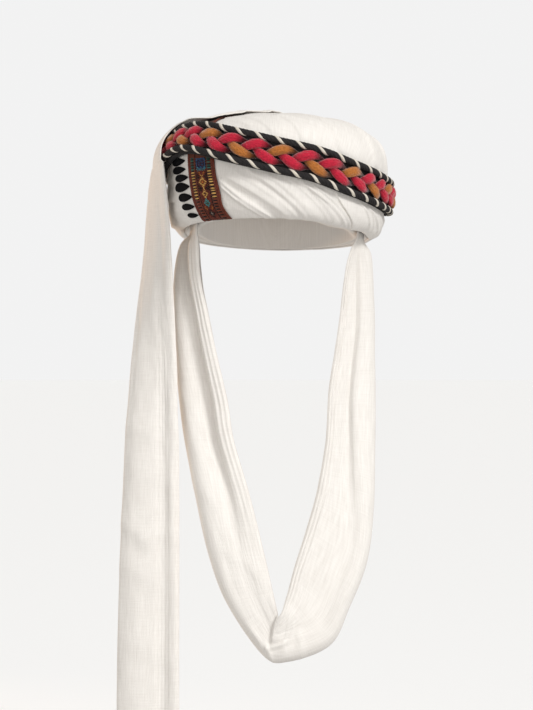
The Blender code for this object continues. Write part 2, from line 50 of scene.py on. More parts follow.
# Forms shared with the solids
HEAD_HALF_WIDTH = 78
HEAD_HALF_DEPTH = 98
HEAD_STRAIGHT = 25
HEAD_TOP = 90
HEAD_POWER = 2.2
CAP_WALL = 7
CAP_HEM_RISE = 2
HALF_WIDTH_MINUS_X = 111.5
HALF_WIDTH_PLUS_X = 110
HALF_DEPTH = 125
PLAN_POWER = 2.15
WIDEST_HEIGHT = 50
DOME_RISE = 56.5
DOME_POWER = 2.7
MINUS_X_POWER_DROP = 0.4
SIDE_LEAN = 0.02
LEAN_PASSES = 5
LOWER_TAPER = 0.02
ROLL_DEPTH = 12
ROLL_HEIGHT = 18
HEART = np.array((0, 0, 35))
HALVINGS = 22
GAP = 0.3
SEAT = 0.5
STRIP_SEAT = 0.8
LAYER = 2.4
LAYER_PROUD = 2.2
PROUD_FADE = (14, 55)
LAYER_END_ANGLE = 308
LOOP_POCKET = 8.2
LOOP_ANGLE = 74.5
POCKET_HALF = 18
POCKET_FADE = 5
BRAID_SHELF = 19
SHELF_MARGIN = 2
GROUND_HALF_WIDTH = 17.2
GROUND_THICKNESS = 2
PLAIT_PERIODS = 11
PLAIT_SWING = 6.9
PLAIT_PHASE = 0.94
CORD_RADIUS = 3.3
CORD_OFFSET = 14.2
HUMP_TOP = 15
HUMP_FADE = 8
STRIP_THICKNESS = 1.3
STRIP_MIDDLE_ANGLE = -38
STRIP_CLEARANCE = 14
STRIP_FADE = 24

# Height of the rim. Columns: angle, height
RIM = (
    (-135, -19.5), (-90, -11.3), (-45, -4.8), (-10, -2.8), (9, -3.9), (21, -6.3),
    (34, -10.8), (55, -13), (72, -18), (90, -17.4), (135, -22), (180, -24),
)

# Height of the braid's middle. Columns: angle, height
BRAID_MIDDLE = (
    (-135, 53), (-90, 64), (-62, 71), (-50, 74), (-38, 73.2), (-20, 65.5), (0, 56),
    (17, 48), (35, 36.5), (63, 26), (90, 24), (135, 31), (180, 42),
)

# Front edge of the outer wrap. Columns: height, angle
WRAP_EDGE = ((-12, 42), (7, 32), (20, 27.4), (30, 26), (60, 26))

# Folds of the brow, drawn on the unrolled skin.
# Columns: from angle, from height, to angle, to height, soft width, sharp width, rise, bow
BROW_PLEATS = (
    (-30, 35, -5, -4, 3.6, 0.7, 3.2, -2.6),
    (-27.4, 35, -1.5, -4, 2.2, 0.7, 2.2, -2.4),
    (-33, 26, -9, -4, 1.8, 0.8, 1, -2.6),
    (-25, 15, -20, 14, 2, 0.7, 0.8, 0.2),
    (-24, 6, -16, 4, 2, 0.7, 0.9, -0.3),
    (-22, 35, 6, -4, 8, 1.8, 2.7, 1.5),
    (-17, 38, 10, -4, 3, 1.2, 0.8, 1.6),
    (-11, 40, 13, -2, 8, 1.8, 2.4, 1.4),
    (-6, 40, 17, -4, 3, 1.2, 0.8, 1.4),
    (-2, 36, 20, -5, 5, 2.2, 1.2, 1),
    (4, 36, 25, -5, 3, 1.2, 0.7, 1),
    (9, 35, 29, -6, 6, 2.2, 1.3, 0.8),
    (15.5, 23, 36, -10, 2.4, 0.8, 1.7, 1),
    (18, 25, 38.5, -9, 2, 0.8, 1.3, 1),
    (-100, 8, -52, 2.5, 2, 0.9, 1.2, 0.5),
    (-108, 24, -52, 16, 7, 1.6, 1.2, 1),
    (-100, 40, -52, 32, 7, 1.8, 1.2, 1),
)

# Folds of the outer wrap, in the same columns; angles here run from 26 to 308
OUTER_PLEATS = (
    (44, 12, 56, -13, 3, 1, 1.5, 0.6),
    (48, 14, 61, -12, 2.2, 1, 0.9, 0.6),
    (53, 6, 70, -14, 3.4, 1, 1.5, 0.6),
    (60, 8, 78, -14, 4.5, 1.4, 1.2, 0.6),
    (64, 16, 118, -17, 5, 1.2, 2, 2),
    (76, 14, 150, -20, 6, 1.4, 2.4, 3),
    (100, 12, 196, -18, 7, 1.4, 2.6, 3),
    (132, 14, 236, -6, 7, 1.5, 2.6, 3),
    (150, 24, 262, 8, 7, 1.6, 2.4, 3),
    (186, 34, 296, 18, 7, 1.6, 2.2, 3),
    (190, -14, 262, -16, 4, 1.2, 1.4, 1),
    (228, -4, 302, -8, 5, 1.2, 1.8, 1.5),
    (216, 42, 300, 36, 6, 1.5, 1.6, 2),
    (118, -8, 176, -20, 3, 1, 1, 1),
)
FOLD_END = 7

# Overlapping turns of the dome, drawn in plan.
# Columns: from x, from y, to x, to y, soft width, sharp width, rise, bow
DOME_PLEATS = (
    (-78, -20, -6, -116, 16, 1.4, 1.3, 3),
    (-60, 0, 24, -120, 18, 1.6, 1.5, 4),
    (-52, 34, 60, -106, 20, 1.6, 1.8, 6),
    (-40, 70, 92, -66, 20, 1.6, 2.4, 8),
    (-8, 96, 104, -18, 20, 1.6, 2.6, 8),
    (30, 110, 108, 34, 18, 1.6, 2.4, 5),
    (12, 60, 84, 6, 9, 1.4, 1.2, 4),
    (-104, 30, -62, 100, 14, 1.6, 2.2, -3),
    (-88, 10, -20, 118, 16, 1.6, 2.4, -4),
    (-66, 6, 24, 112, 15, 1.6, 1.8, -6),
    (-70, -50, -30, -102, 8, 1.2, 0.9, 2),
    (0, -84, 56, -104, 9, 1.4, 0.9, 2),
)

# Wrinkles of the dome: cosine and sine of their direction in plan, the span their hills fill, the
# margin kept beside the strip, and rows of height, hills across, hills along and seed
DOME_GRAIN = (0.81, 0.59)
DOME_SPAN = (280, 300)
DOME_STRIP_MARGIN = 3
DOME_WRINKLES = ((0.45, 34, 5, 1), (0.35, 11, 4, 2))
# Wrinkles of the brow: their slant, where their hills start and how high they reach, and rows of
# share of the height, hills round and hills upwards
WRINKLE_SLANT = 0.55
WRINKLE_BELOW = 30
WRINKLE_REACH = 110
BROW_WRINKLES = ((1, 46, 9), (1, 17, 5), (0.5, 110, 26))
BROW_WRINKLE_HEIGHT = 0.16
OUTER_WRINKLE_HEIGHT = 0.3
# Angles over which the brow's folds calm down: at the strip's -X side, past its +X edge, and at the
# drops, with how much they calm there
CALM_AT_STRIP = (-49, -47)
CALM_PAST_STRIP = (0.2, 1.8)
CALM_AT_DROPS = (-66, -62)
DROPS_CALM = 0.75
# Degrees over which the brow sinks under the outer wrap: past the wrap's front edge, and at its end
SINK_AT_EDGE = (0.2, 1.6)
SINK_AT_END = (-53.5, -52)
# The outer wrap's rounded edge in degrees, and how its columns crowd towards it
EDGE_ROLL = 0.9
EDGE_CROWDING = 1.25
EDGE_PASSES = 4
EDGE_GUESS = 34

# Rows of the brow's section: share of them on the rolled rim, and shares of the hidden back
ROLL_SHARE = 0.27
BROW_BACK = (1, 0.5, 0.12)
BROW_GIRTH = 160
HOLLOW_ROWS = 20
DOME_ROWS = 84
BROW_ROWS = 66
CROWN_COLUMNS = 330
BROW_COLUMNS = 550
OUTER_COLUMNS = 430
FRONT_CROWDING = 0.55
# Ways over the cap's cloth to the top of its dome: from its hollow's top, and from its hem
CROWN_ARCS = (260, 150)

# Embroidered strip. Columns: height, angle of its -X edge, angle of its +X edge
STRIP_EDGES = (
    (-5, -40.6, -22.6), (2, -40.6, -24.2), (9, -41.5, -25.6), (20, -43.5, -26.4),
    (39, -45.3, -28.6), (60, -46.5, -30), (76, -48, -32.5), (88, -51.5, -37),
    (96, -58, -43), (103, -70, -53), (108, -84, -66),
)
STRIP_WIDTH = 38
STRIP_TOP_CLIMB = 53
STRIP_LENGTH = 150
STRIP_START = 0.2
STRIP_SKEW_SHARE = 0.45
STRIP_FACE = STRIP_THICKNESS * 0.8
STRIP_RIBS = 90
STRIP_RIB = 0.12
STRIP_ROWS = 200
STRIP_COLUMNS = 24

# Black drops beside the strip. Columns: angle, height, length, half height
TEARDROPS = (
    (-56.2, 55.2, 29.5, 4.7), (-55.6, 47, 29, 4.6), (-52.9, 38.9, 27, 4.5),
    (-52.7, 29.8, 30, 5.7), (-50, 19.5, 25.5, 5.1), (-47.9, 10, 22, 4.1),
    (-45.8, 1.6, 17, 3.4),
)
DROP_SIDES = 48
DROP_RINGS = 11
DROP_THICKNESS = 1.5
DROP_TAPER = 0.65
DROP_EDGE = 0.3
DROP_ROUNDING = 0.8
# Satin stitches of the drops: their step and their height
SATIN_STEP = 0.9
SATIN_RIB = 0.07

# Tail. Columns: front edge x, y, z, back edge x, y, z, thickness
TAIL = (
    (62, 96, 68, -8, 118, 66, 2.4),
    (46, 62, 90, -32, 98, 84, 2.4),
    (22, 22, 100, -52, 78, 90, 2.6),
    (-6, -16, 100, -70, 58, 90, 2.6),
    (-34, -40, 96, -84, 44, 86, 2.6),
    (-56, -52, 91, -96, 34, 80, 2.8),
    (-76, -50, 85, -106, 26, 76, 3),
    (-93, -44, 80, -113, 20, 72, 3.2),
    (-106, -50, 72, -120, 15, 65, 3.4),
    (-112, -60, 62, -126, 12, 56, 3.8),
    (-111.5, -63, 44, -129.5, 10, 44, 4.4),
    (-109.5, -59, 17, -132, 8, 17, 5),
    (-106, -54, -40, -136, -2, -40, 6),
    (-102.5, -53, -100, -142, -16, -100, 7),
    (-99.8, -59, -145, -146, -32, -145, 7.4),
    (-98.4, -66, -190, -149, -46, -190, 7.8),
    (-97.2, -71, -222, -151, -54, -222, 8),
    (-97, -77, -276, -153, -63, -276, 8),
    (-96.8, -79, -335, -155, -69, -335, 8),
    (-96.8, -80, -433, -157.5, -71, -433, 8),
    (-96.8, -80, -500, -158, -71, -500, 8),
    (-96.8, -80, -560, -158.5, -71, -560, 8),
)
# The tail's cloth, from its hidden selvage round to its back, in its upper and its lower part.
# Columns: place from front edge to back edge, share of thickness, order over the dome
TAIL_SELVAGE = (
    (0.7, -0.32, 1.2), (0.45, -0.32, 1.2), (0.2, -0.3, 1.2), (0.05, -0.24, 1.3), (0, 0.05, 1.9),
)
TAIL_BACK = (
    (1, -0.1, 1.2), (0.94, -0.4, 0.2), (0.7, -0.5, 0), (0.5, -0.52, 0), (0.35, -0.52, 0),
)
TAIL_UPPER = (
    *TAIL_SELVAGE, (0.03, 0.3, 2.6), (0.08, 0.46, 2.6), (0.14, 0.52, 2.6),
    (0.2, 0.56, 2.6), (0.26, 0.66, 2.6), (0.32, 0.8, 2.6), (0.4, 0.92, 2.6),
    (0.54, 0.96, 2.6), (0.68, 0.94, 2.6), (0.78, 0.8, 2.6), (0.87, 0.48, 2.6),
    (0.97, 0.26, 2.2), *TAIL_BACK,
)
TAIL_LOWER = (
    *TAIL_SELVAGE, (0.03, 0.34, 2.6), (0.08, 0.5, 2.6), (0.14, 0.46, 2.6),
    (0.19, 0.26, 2.6), (0.26, 0.16, 2.6), (0.33, 0.3, 2.6), (0.4, 0.62, 2.6),
    (0.52, 0.86, 2.6), (0.66, 0.98, 2.6), (0.8, 0.86, 2.6), (0.9, 0.58, 2.6),
    (0.98, 0.24, 2.2), *TAIL_BACK,
)
TAIL_FORMS = ((0, TAIL_UPPER), (0.56, TAIL_UPPER), (0.78, TAIL_LOWER), (1, TAIL_LOWER))
# Fine ridges along the tail. Columns: share of the section, half width, rise, where it starts, ends
TAIL_RIDGES = (
    (0.385, 0.011, 0.45, 0.6, 2), (0.432, 0.009, 0.35, 0.62, 2), (0.47, 0.01, 0.4, 0.6, 2),
)
# Cross creases of the tail, drawn from the front in x and z, in the columns of the dome's pleats
TAIL_CREASES = (
    (-160, -302, -128, -322, 14, 5, 1.8, 3), (-128, -318, -102, -312, 10, 4, 1.2, 2),
    (-158, -345, -120, -362, 16, 6, 1.4, 4), (-140, -252, -104, -268, 16, 6, 0.9, 3),
    (-150, -420, -110, -436, 18, 8, 1.2, 3), (-146, -210, -112, -222, 14, 6, 0.7, 2),
)

# Chin loop. Columns: inner edge x, y, z, outer edge x, y, z, bulge
CHIN_LOOP = (
    (-80, -44.6, 10, -87.9, -3.1, 10, 2.2),
    (-80, -44.6, -1, -87.9, -3.1, -1, 2.2),
    (-80, -44.6, -13, -87.9, -3.1, -14, 2.4),
    (-78, -46, -26, -98, -5, -27, 5),
    (-75.4, -48, -55, -102.4, -10, -54, 7.5),
    (-68.3, -52, -90, -103.4, -18, -89, 9),
    (-59, -58, -133, -101.8, -28, -133, 10),
    (-47.8, -68, -181, -97.4, -40, -181, 10.5),
    (-41.7, -78, -219, -91.8, -54, -220, 10.5),
    (-25.9, -92, -274, -80.2, -78, -275, 10.5),
    (-12.2, -103, -330, -66.7, -96, -331, 10),
    (-3.4, -110, -368, -48.1, -106, -378, 9.5),
    (1.1, -113, -386.5, -13.2, -111, -427, 8),
    (2.5, -115, -385, 11, -113, -432, 8),
    (9, -112, -367, 50.9, -108, -417, 9.5),
    (17, -106, -339, 69.5, -102, -382, 10.5),
    (30.7, -97, -297, 87.6, -88, -338, 11),
    (39.7, -90, -265, 94.6, -74, -288, 11),
    (48.5, -78, -219, 96.8, -56, -225, 10.5),
    (52.1, -66, -169, 97.6, -40, -170, 10),
    (58.7, -58, -133, 97.1, -30, -133, 10),
    (65.2, -52, -93, 96.7, -20, -92, 9),
    (69.9, -48, -55, 95.2, -12, -54, 7.5),
    (74.6, -46, -31, 94.2, -7, -33, 5),
    (80, -44.6, -17, 87.9, -3.1, -21, 2.4),
    (80, -44.6, -4, 87.9, -3.1, -4, 2.2),
    (80, -44.6, 8, 87.9, -3.1, 8, 2.2),
)
# The loop's cloth at the top, the middle and the foot of its two legs.
# Columns: place from inner edge to outer edge, share of bulge
LOOP_BACK = (
    (1, 0.02), (0.96, -0.25), (0.8, -0.36), (0.5, -0.4), (0.25, -0.38), (0.08, -0.36),
)
LOOP_LEFT_TOP = (
    (0, 0.2), (0.08, 0.42), (0.18, 0.5), (0.3, 0.54), (0.42, 0.5), (0.46, 0.2), (0.52, 0),
    (0.58, 0.1), (0.66, 0.5), (0.75, 0.82), (0.85, 0.86), (0.94, 0.55), *LOOP_BACK,
)
LOOP_LEFT = (
    (0, 0.2), (0.05, 0.44), (0.12, 0.52), (0.19, 0.56), (0.26, 0.52), (0.295, 0.2), (0.35, -0.1),
    (0.43, 0), (0.55, 0.5), (0.68, 0.9), (0.8, 0.94), (0.92, 0.6), *LOOP_BACK,
)
LOOP_LEFT_LOW = (
    (0, 0.2), (0.05, 0.42), (0.12, 0.54), (0.19, 0.62), (0.26, 0.66), (0.33, 0.66), (0.39, 0.68),
    (0.47, 0.76), (0.56, 0.84), (0.68, 0.92), (0.8, 0.94), (0.92, 0.6), *LOOP_BACK,
)
LOOP_RIGHT_LOW = (
    (0, -0.05), (0.04, 0.14), (0.1, 0.28), (0.18, 0.4), (0.3, 0.52), (0.45, 0.6),
    (0.6, 0.62), (0.7, 0.68), (0.76, 0.8), (0.83, 0.9), (0.9, 0.82), (0.96, 0.5), *LOOP_BACK,
)
LOOP_RIGHT = (
    (0, -0.3), (0.04, -0.12), (0.1, -0.02), (0.17, 0.1), (0.25, 0.24), (0.32, 0.36),
    (0.375, 0.4), (0.4, 0.62), (0.43, 0.92), (0.52, 1.06), (0.74, 0.98), (0.92, 0.55), *LOOP_BACK,
)
LOOP_RIGHT_TOP = (
    (0, -0.25), (0.03, -0.14), (0.06, -0.06), (0.09, 0), (0.12, 0.06), (0.15, 0.12),
    (0.18, 0.16), (0.205, 0.36), (0.23, 0.64), (0.34, 0.92), (0.66, 0.98), (0.9, 0.6), *LOOP_BACK,
)
LOOP_FORMS = (
    (0, LOOP_LEFT_TOP), (0.08, LOOP_LEFT_TOP), (0.2, LOOP_LEFT), (0.3, LOOP_LEFT),
    (0.4, LOOP_LEFT_LOW), (0.49, LOOP_LEFT_LOW), (0.57, LOOP_RIGHT_LOW), (0.6, LOOP_RIGHT_LOW),
    (0.72, LOOP_RIGHT), (0.78, LOOP_RIGHT), (0.92, LOOP_RIGHT_TOP), (1, LOOP_RIGHT_TOP),
)
LOOP_RIDGES = (
    (0.05, 0.017, 0.75, -1, 0.42), (0.118, 0.017, 0.85, -1, 0.41), (0.19, 0.017, 0.85, -1, 0.4),
    (0.04, 0.012, 0.9, 0.46, 2), (0.09, 0.012, 1, 0.46, 2), (0.14, 0.012, 1, 0.47, 2),
)
# Creases at the bottom of the loop, drawn from the front in x and z
LOOP_CREASES = (
    (3.5, -384, -2.5, -407, 8, 1.2, 4.4, -1.2), (9, -392, 5, -413, 1.6, 1.1, 1.3, 1.8),
    (12.5, -392, 7, -417, 1.6, 1.1, 1.3, 2.6), (5, -413, -8, -418, 2.4, 1.2, 2, 1.2),
    (-9, -418, -5, -430, 2, 1.2, 1.6, 0.4), (19, -408, 22, -432, 3, 2, 1.5, 0.6),
    (-24, -404, -10, -426, 6, 2.6, 1.6, 1.4), (34, -396, 14, -428, 6, 2.8, 1, -1.5),
    (-50, -330, -18, -352, 10, 4, 0.9, 3), (62, -300, 40, -345, 12, 4, 1.1, 3),
    (84, -268, 66, -300, 10, 4, 0.9, 3), (-84, -262, -56, -288, 10, 4, 0.8, 3),
)
CLOTH_THICKNESS = 0.9
# Soft unevenness of hanging cloth. Columns: height, hills across, hills along
CLOTH_WAVES = ((1.1, 5, 11), (0.5, 13, 34), (0.16, 40, 120))
WAVES_SPAN = 0.98
# How snugly the tail lies on the dome, and what is left there of the order of its layers
DRAPE_SEAT = 2.6
DRAPE_ORDER = 0.5
# Where the tail clears the strip: degrees beside it, and heights over which that sets in
DRAPE_STRIP_MARGIN = 6
DRAPE_STRIP_FADE = (60, 70)
# Creases of hanging cloth lie below this height, and fade in from the hidden to the shown side.
# Ridges fade in over this share of its length
CREASES_BELOW = -190
CREASES_SHOWN = (-0.15, 0.05)
RIDGE_FADE = 0.1
# Bulge from which on hanging cloth has its full waves
FULL_WAVES = 6

# Threads of the embroidery, as red, green and blue
THREADS = {
    "b": (0.016, 0.095, 0.22), "n": (0.006, 0.015, 0.055), "t": (0.045, 0.23, 0.24),
    "g": (0.56, 0.33, 0.10), "o": (0.46, 0.15, 0.03), "k": (0.007, 0.005, 0.005),
    "y": (0.20, 0.16, 0.14), "r": (0.125, 0.025, 0.018), "e": (0.03, 0.10, 0.08),
    "m": (0.17, 0.042, 0.025),
}
# Middle column of the border, row by row from under the braid down to the rim. Each row gives its
# stitches up to the middle one, and the rest mirrors them
MIDDLE_CHART = (
    "bbbbbb", "bbnnbn", "bnnnnb", "bnnbnn", "bnnnnn", "bnnbnn", "bnnnnb", "btbnbb",
    "tbtbtb", "rtrtrt", "rrrrrr", "rroorr", "krrorr", "kkrrgo", "kkkrrg", "kkrrgg",
    "krrggg", "rrggro", "rggroo", "rrggro", "krrggg", "kkrrgg", "kkkrrg", "kkkkrg",
    "kkkrrg", "rkrrgg", "rrrggr", "rrggrk", "rrrggr", "rrrrgg", "rrrrrg", "rrrrrt",
    "rrrrtt", "rrrtte", "rrttee", "rrrtte", "rrrrtt", "rorrrt", "roorrr", "rrorrk",
    "rrrrkk", "rrrkky", "rrkkyy", "rrrkky", "rmrrkk", "mrmrrk", "rmrmrm", "mrmrmr",
)
CHART_TOP = 55.5
CHART_STEP = 1.27
CHART_WIDTH = 13
CHART_SHARE = 0.026
# Stitches: how far they reach over the next one across and lengthways, their height, how far they
# stray from their places, and the range of their tones
STITCH_WIDE = 1.1
STITCH_LONG = 1.05
STITCH_HEIGHT = 1.1
STITCH_SCATTER = 0.0016
STITCH_TONES = (0.7, 1.3)
# Bars beside the chart: the middles of their two columns as shares of the width, their length and
# step, how far they start above the chart, and the height their columns end at
BAR_COLUMNS = (-0.305, 0.31)
BAR_LENGTH = 6.2
BAR_STEP = 2.75
BAR_ABOVE_CHART = 1
BARS_END = -6
# Thickness of the bars and of the dark stitches between them, as shares of a step
BAR_FILL = 0.58
DARK_FILL = 0.5
# Threads of the bars from a height upwards
BAR_THREADS = ((44, "e"), (17, "g"), (-math.inf, "m"))
# Lines of small stitches that run the whole length: share of the width from the middle, thread
EDGE_LINES = (
    (-0.48, "r"), (-0.447, "m"), (-0.413, "r"), (-0.205, "m"), (-0.175, "k"),
    (0.212, "k"), (0.413, "m"), (0.447, "r"), (0.48, "m"),
)
LINE_STITCHES = 104
LINE_WIDTH = 0.034

# The black band under the plait: its grid, its ribs and its length
BAND_COLUMNS = 840
BAND_ROWS = 14
BAND_RIBS = 210
BAND_RIB = 0.2
BAND_LENGTH = 740

# The plait's strands, their loose fibres, and the cords along the band
STRAND_STEPS = 680
STRAND_SIDES = 32
STRAND_WAVE = 2.1
STRAND_BASE = GROUND_THICKNESS + GAP + STRAND_WAVE + 1.0
STRAND_DEPTH = 2.9
STRAND_LEAST_DEPTH = 1.3
# Half width of a strand where it dives, and how much more it has on top
STRAND_WIDTH = (1.9, 2.7)
# Yarns of a strand: how many, their turns round it, their height and how narrow their furrows are
YARNS = 9
YARN_TURNS = 7
YARN_HEIGHT = 0.42
YARN_FURROW = 0.7
# Roughness of a strand, and how much of it the strand's length takes.
# Columns: height, cells round it, cells along it, first seed
STRAND_ROUGHNESS = ((0.35, 12, 300, 20), (0.3, 26, 90, 30))
NOISE_SPAN = 0.999
# Cloth coordinates of a strand and of a cord's ply: girth and length
STRAND_CLOTH = (24, 900)
PLY_CLOTH = (9, 1100)
FIBRES = 8000
FIBRE_RADIUS = 0.075
FIBRE_ROOT = 0.2
CORD_TURNS = 41
PLY_STEPS = 640
PLY_SIDES = 7
PLIES = 5
# Half thickness of the black plies and of the cream one, and how far the cream one stands out
BLACK_PLY = 1.45
CREAM_PLY = 1.55
CREAM_PROUD = 0.25
PLY_FLATTENING = 1.12

# The photo's camera: its distance, the photo's height in pixels, a pixel's size at the turban, the
# sensor's height, and its place aside and in height in metres
CAMERA_DISTANCE = 2200
PHOTO_HEIGHT = 710
PIXEL = 1.02
SENSOR = 36
CAMERA_ASIDE = -0.01071
CAMERA_HEIGHT = -0.13566

# Strength of the light from all round and of the background, and the floor's two tones
SKY_LIGHT = 0.62
BACKGROUND = 0.89
FLOOR_SEEN = (0.955, 0.965, 0.975)
FLOOR_BOUNCE = (0.6, 0.6, 0.6)
FLOOR_HEIGHT = -0.62
FLOOR_RADIUS = 40
LAMP_SPREAD = 60


def ramp(value, start, end):
    """0 up to start, 1 from end on, and smooth between them."""
    share = np.clip((value - start) / (end - start), 0, 1)
    return share * share * (3 - 2 * share)


def unit(vectors):
    return vectors / np.linalg.norm(vectors, axis=-1, keepdims=True)


def read(rows, place, turn=0):
    """The columns of a table at places in its first column; turn closes it round a full turn."""
    rows = np.array(rows, float)
    place = np.asarray(place, float)
    if turn:
        before, after = rows[-2:].copy(), rows[:3].copy()
        before[:, 0] -= turn
        after[:, 0] += turn
        rows = np.vstack((before, rows, after))
        place = rows[2, 0] + (place - rows[2, 0]) % turn
    place = np.clip(place, rows[0, 0], rows[-1, 0])
    spot = np.clip(np.searchsorted(rows[:, 0], place) - 1, 0, len(rows) - 2)
    low, high = rows[spot], rows[spot + 1]
    before, after = rows[np.maximum(spot - 1, 0)], rows[np.minimum(spot + 2, len(rows) - 1)]
    width = (high - low)[..., :1]
    t = (place[..., None] - low[..., :1]) / width
    rise_low = (high - before) / (high - before)[..., :1] * width
    rise_high = (after - low) / (after - low)[..., :1] * width
    values = (2 * t**3 - 3 * t**2 + 1) * low + (t**3 - 2 * t**2 + t) * rise_low
    values += (3 * t**2 - 2 * t**3) * high + (t**3 - t**2) * rise_high
    return values[..., 1:]


def along(rows, share):
    """A table's columns at shares of its length, all rows being one step apart."""
    numbered = [(index, *row) for index, row in enumerate(rows)]
    return read(numbered, np.asarray(share) * (len(rows) - 1))


def noise(u, v, cells_u, cells_v, seed):
    """Smooth hills between -1 and 1; u and v run from 0 to 1, and u closes on itself."""
    heights = np.random.default_rng(seed).uniform(-1, 1, (cells_u, cells_v + 2))
    x, y = (u % 1) * cells_u, np.clip(v, 0, 1) * cells_v
    left, low = np.floor(x).astype(int), np.floor(y).astype(int)
    fade_x, fade_y = x - left, y - low
    fade_x, fade_y = fade_x**2 * (3 - 2 * fade_x), fade_y**2 * (3 - 2 * fade_y)
    left, right = left % cells_u, (left + 1) % cells_u
    bottom = heights[left, low] * (1 - fade_x) + heights[right, low] * fade_x
    top = heights[left, low + 1] * (1 - fade_x) + heights[right, low + 1] * fade_x
    return bottom * (1 - fade_y) + top * fade_y


def heading(angle):
    turn = np.radians(angle)
    return np.stack((np.sin(turn), -np.cos(turn), np.zeros_like(turn)), -1)


def upright(height):
    flat = np.zeros_like(height)
    return np.stack((flat, flat, height), -1)


def point_at(angle, reach, height):
    """A point at an angle, a reach from the upright axis and a height."""
    return heading(angle) * reach[..., None] + upright(height)


def rim_height(angle):
    return read(RIM, angle, 360)[..., 0]


def braid_height(angle):
    return read(BRAID_MIDDLE, angle, 360)[..., 0]


def head_radius(angle):
    way = heading(angle)
    return 1 / np.hypot(way[..., 0] / HEAD_HALF_WIDTH, way[..., 1] / HEAD_HALF_DEPTH)


def plan_radius(angle):
    way = heading(angle)
    half_width = np.where(way[..., 0] > 0, HALF_WIDTH_PLUS_X, HALF_WIDTH_MINUS_X)
    across = np.abs(way[..., 0] / half_width) ** PLAN_POWER
    across += np.abs(way[..., 1] / HALF_DEPTH) ** PLAN_POWER
    return across ** (-1 / PLAN_POWER)


def wall_radius(angle, height):
    """Distance of the smooth outside from the upright axis."""
    plan, side = plan_radius(angle), np.sin(np.radians(angle))
    power = DOME_POWER - MINUS_X_POWER_DROP * np.maximum(0, -side)
    radius = plan + 0 * height
    for _ in range(LEAN_PASSES):
        level = height + SIDE_LEAN * radius * side - WIDEST_HEIGHT
        share = np.clip(level / DOME_RISE, 0, 1)
        upper = plan * (1 - share**power) ** (1 / power)
        lower = plan * (1 - LOWER_TAPER * (level / WIDEST_HEIGHT) ** 2)
        radius = np.where(level > 0, upper, lower)
    low = np.clip(1 - (height - rim_height(angle)) / ROLL_HEIGHT, 0, 1)
    return radius - ROLL_DEPTH * (1 - np.sqrt(1 - low * low))


def ray(angle, climb):
    turn = np.radians(climb)
    return point_at(angle, np.cos(turn), np.sin(turn))


def skin_distance(angle, climb):
    """Distance of the smooth outside from the heart."""
    way = ray(angle, climb)
    level = np.hypot(way[..., 0], way[..., 1])
    near, far = np.zeros_like(level), np.full_like(level, 2 * HALF_DEPTH)
    for _ in range(HALVINGS):
        middle = (near + far) / 2
        inside = level * middle < wall_radius(angle, HEART[2] + way[..., 2] * middle)
        near, far = np.where(inside, middle, near), np.where(inside, far, middle)
    return near


def angles_of(points):
    offset = points - HEART
    angle = np.degrees(np.arctan2(offset[..., 0], -offset[..., 1]))
    climb = np.degrees(np.arctan2(offset[..., 2], np.hypot(offset[..., 0], offset[..., 1])))
    return angle, climb


def climb_at(angle, height):
    return np.degrees(np.arctan2(height - HEART[2], wall_radius(angle, height)))


def skin_point(angle, climb, lift):
    """A point of the smooth outside, raised by lift."""
    distance = skin_distance(angle, climb) + lift
    return HEART + ray(angle, climb) * distance[..., None]


def wall_point(angle, height, lift):
    """A point of the smooth outside at a height, raised by lift."""
    spot = point_at(angle, wall_radius(angle, height), height)
    return spot + unit(spot - HEART) * lift[..., None]


def pleats(rows, x, y):
    """Height of overlapping folds, each soft on the left of its line and sharp on the right."""
    total = np.zeros_like(x)
    for from_x, from_y, to_x, to_y, soft, sharp, rise, bow in rows:
        run_x, run_y = to_x - from_x, to_y - from_y
        length = math.hypot(run_x, run_y)
        travel = ((x - from_x) * run_x + (y - from_y) * run_y) / length
        aside = (run_x * (y - from_y) - run_y * (x - from_x)) / length
        share = np.clip(travel / length, 0, 1)
        aside = aside - bow * 4 * share * (1 - share)
        past = np.maximum(0, np.maximum(-travel, travel - length))
        width = np.where(aside > 0, soft, sharp)
        total += rise * np.exp(-((aside / width) ** 2) - (past / FOLD_END) ** 2)
    return total


def unrolled(rows):
    """Fold rows drawn by angle, with their angles turned into lengths round the skin."""
    arc = math.radians(HALF_DEPTH)
    return [(row[0] * arc, row[1], row[2] * arc, *row[3:]) for row in rows]


def lay_grid(name, points, places, look, ring=False, tube=False, painted_shade=None):
    """Lay a grid over rows of points, and weld it where it meets itself."""
    values = np.zeros(points.shape[:2]) if painted_shade is None else painted_shade
    if ring:
        points, values = np.concatenate((points, points[:1])), np.concatenate((values, values[:1]))
    if tube:
        points = np.concatenate((points, points[:, :1]), 1)
        values = np.concatenate((values, values[:, :1]), 1)
    steps, width = points.shape[:2]
    shape = bmesh.new()
    bmesh.ops.create_grid(shape, x_segments=steps - 1, y_segments=width - 1, size=0.5)
    mesh = bpy.data.meshes.new(name)
    shape.to_mesh(mesh)
    mesh.vertices.foreach_set("co", (points.transpose(1, 0, 2) * MM).ravel())
    corners = np.zeros(len(mesh.loops), int)
    mesh.loops.foreach_get("vertex_index", corners)
    spread = np.stack(places, -1)[:steps, :width].transpose(1, 0, 2).reshape(-1, 2) * MM
    mesh.uv_layers.new(name="Cloth").data.foreach_set("uv", spread[corners].ravel())
    # Painted shade per point, kept as the Shade attribute that darkens the wool's colour
    if painted_shade is not None:
        layer = mesh.attributes.new(name="Shade", type="FLOAT", domain="POINT")
        layer.data.foreach_set("value", values.T.ravel())
    shape.clear()
    shape.from_mesh(mesh)
    bmesh.ops.remove_doubles(shape, verts=shape.verts, dist=WELD)
    bmesh.ops.recalc_face_normals(shape, faces=shape.faces)
    shape.to_mesh(mesh)
    shape.free()
    return finished(name, mesh, look)


def added(name, data):
    piece = bpy.data.objects.new(name, data)
    bpy.context.collection.objects.link(piece)
    return piece


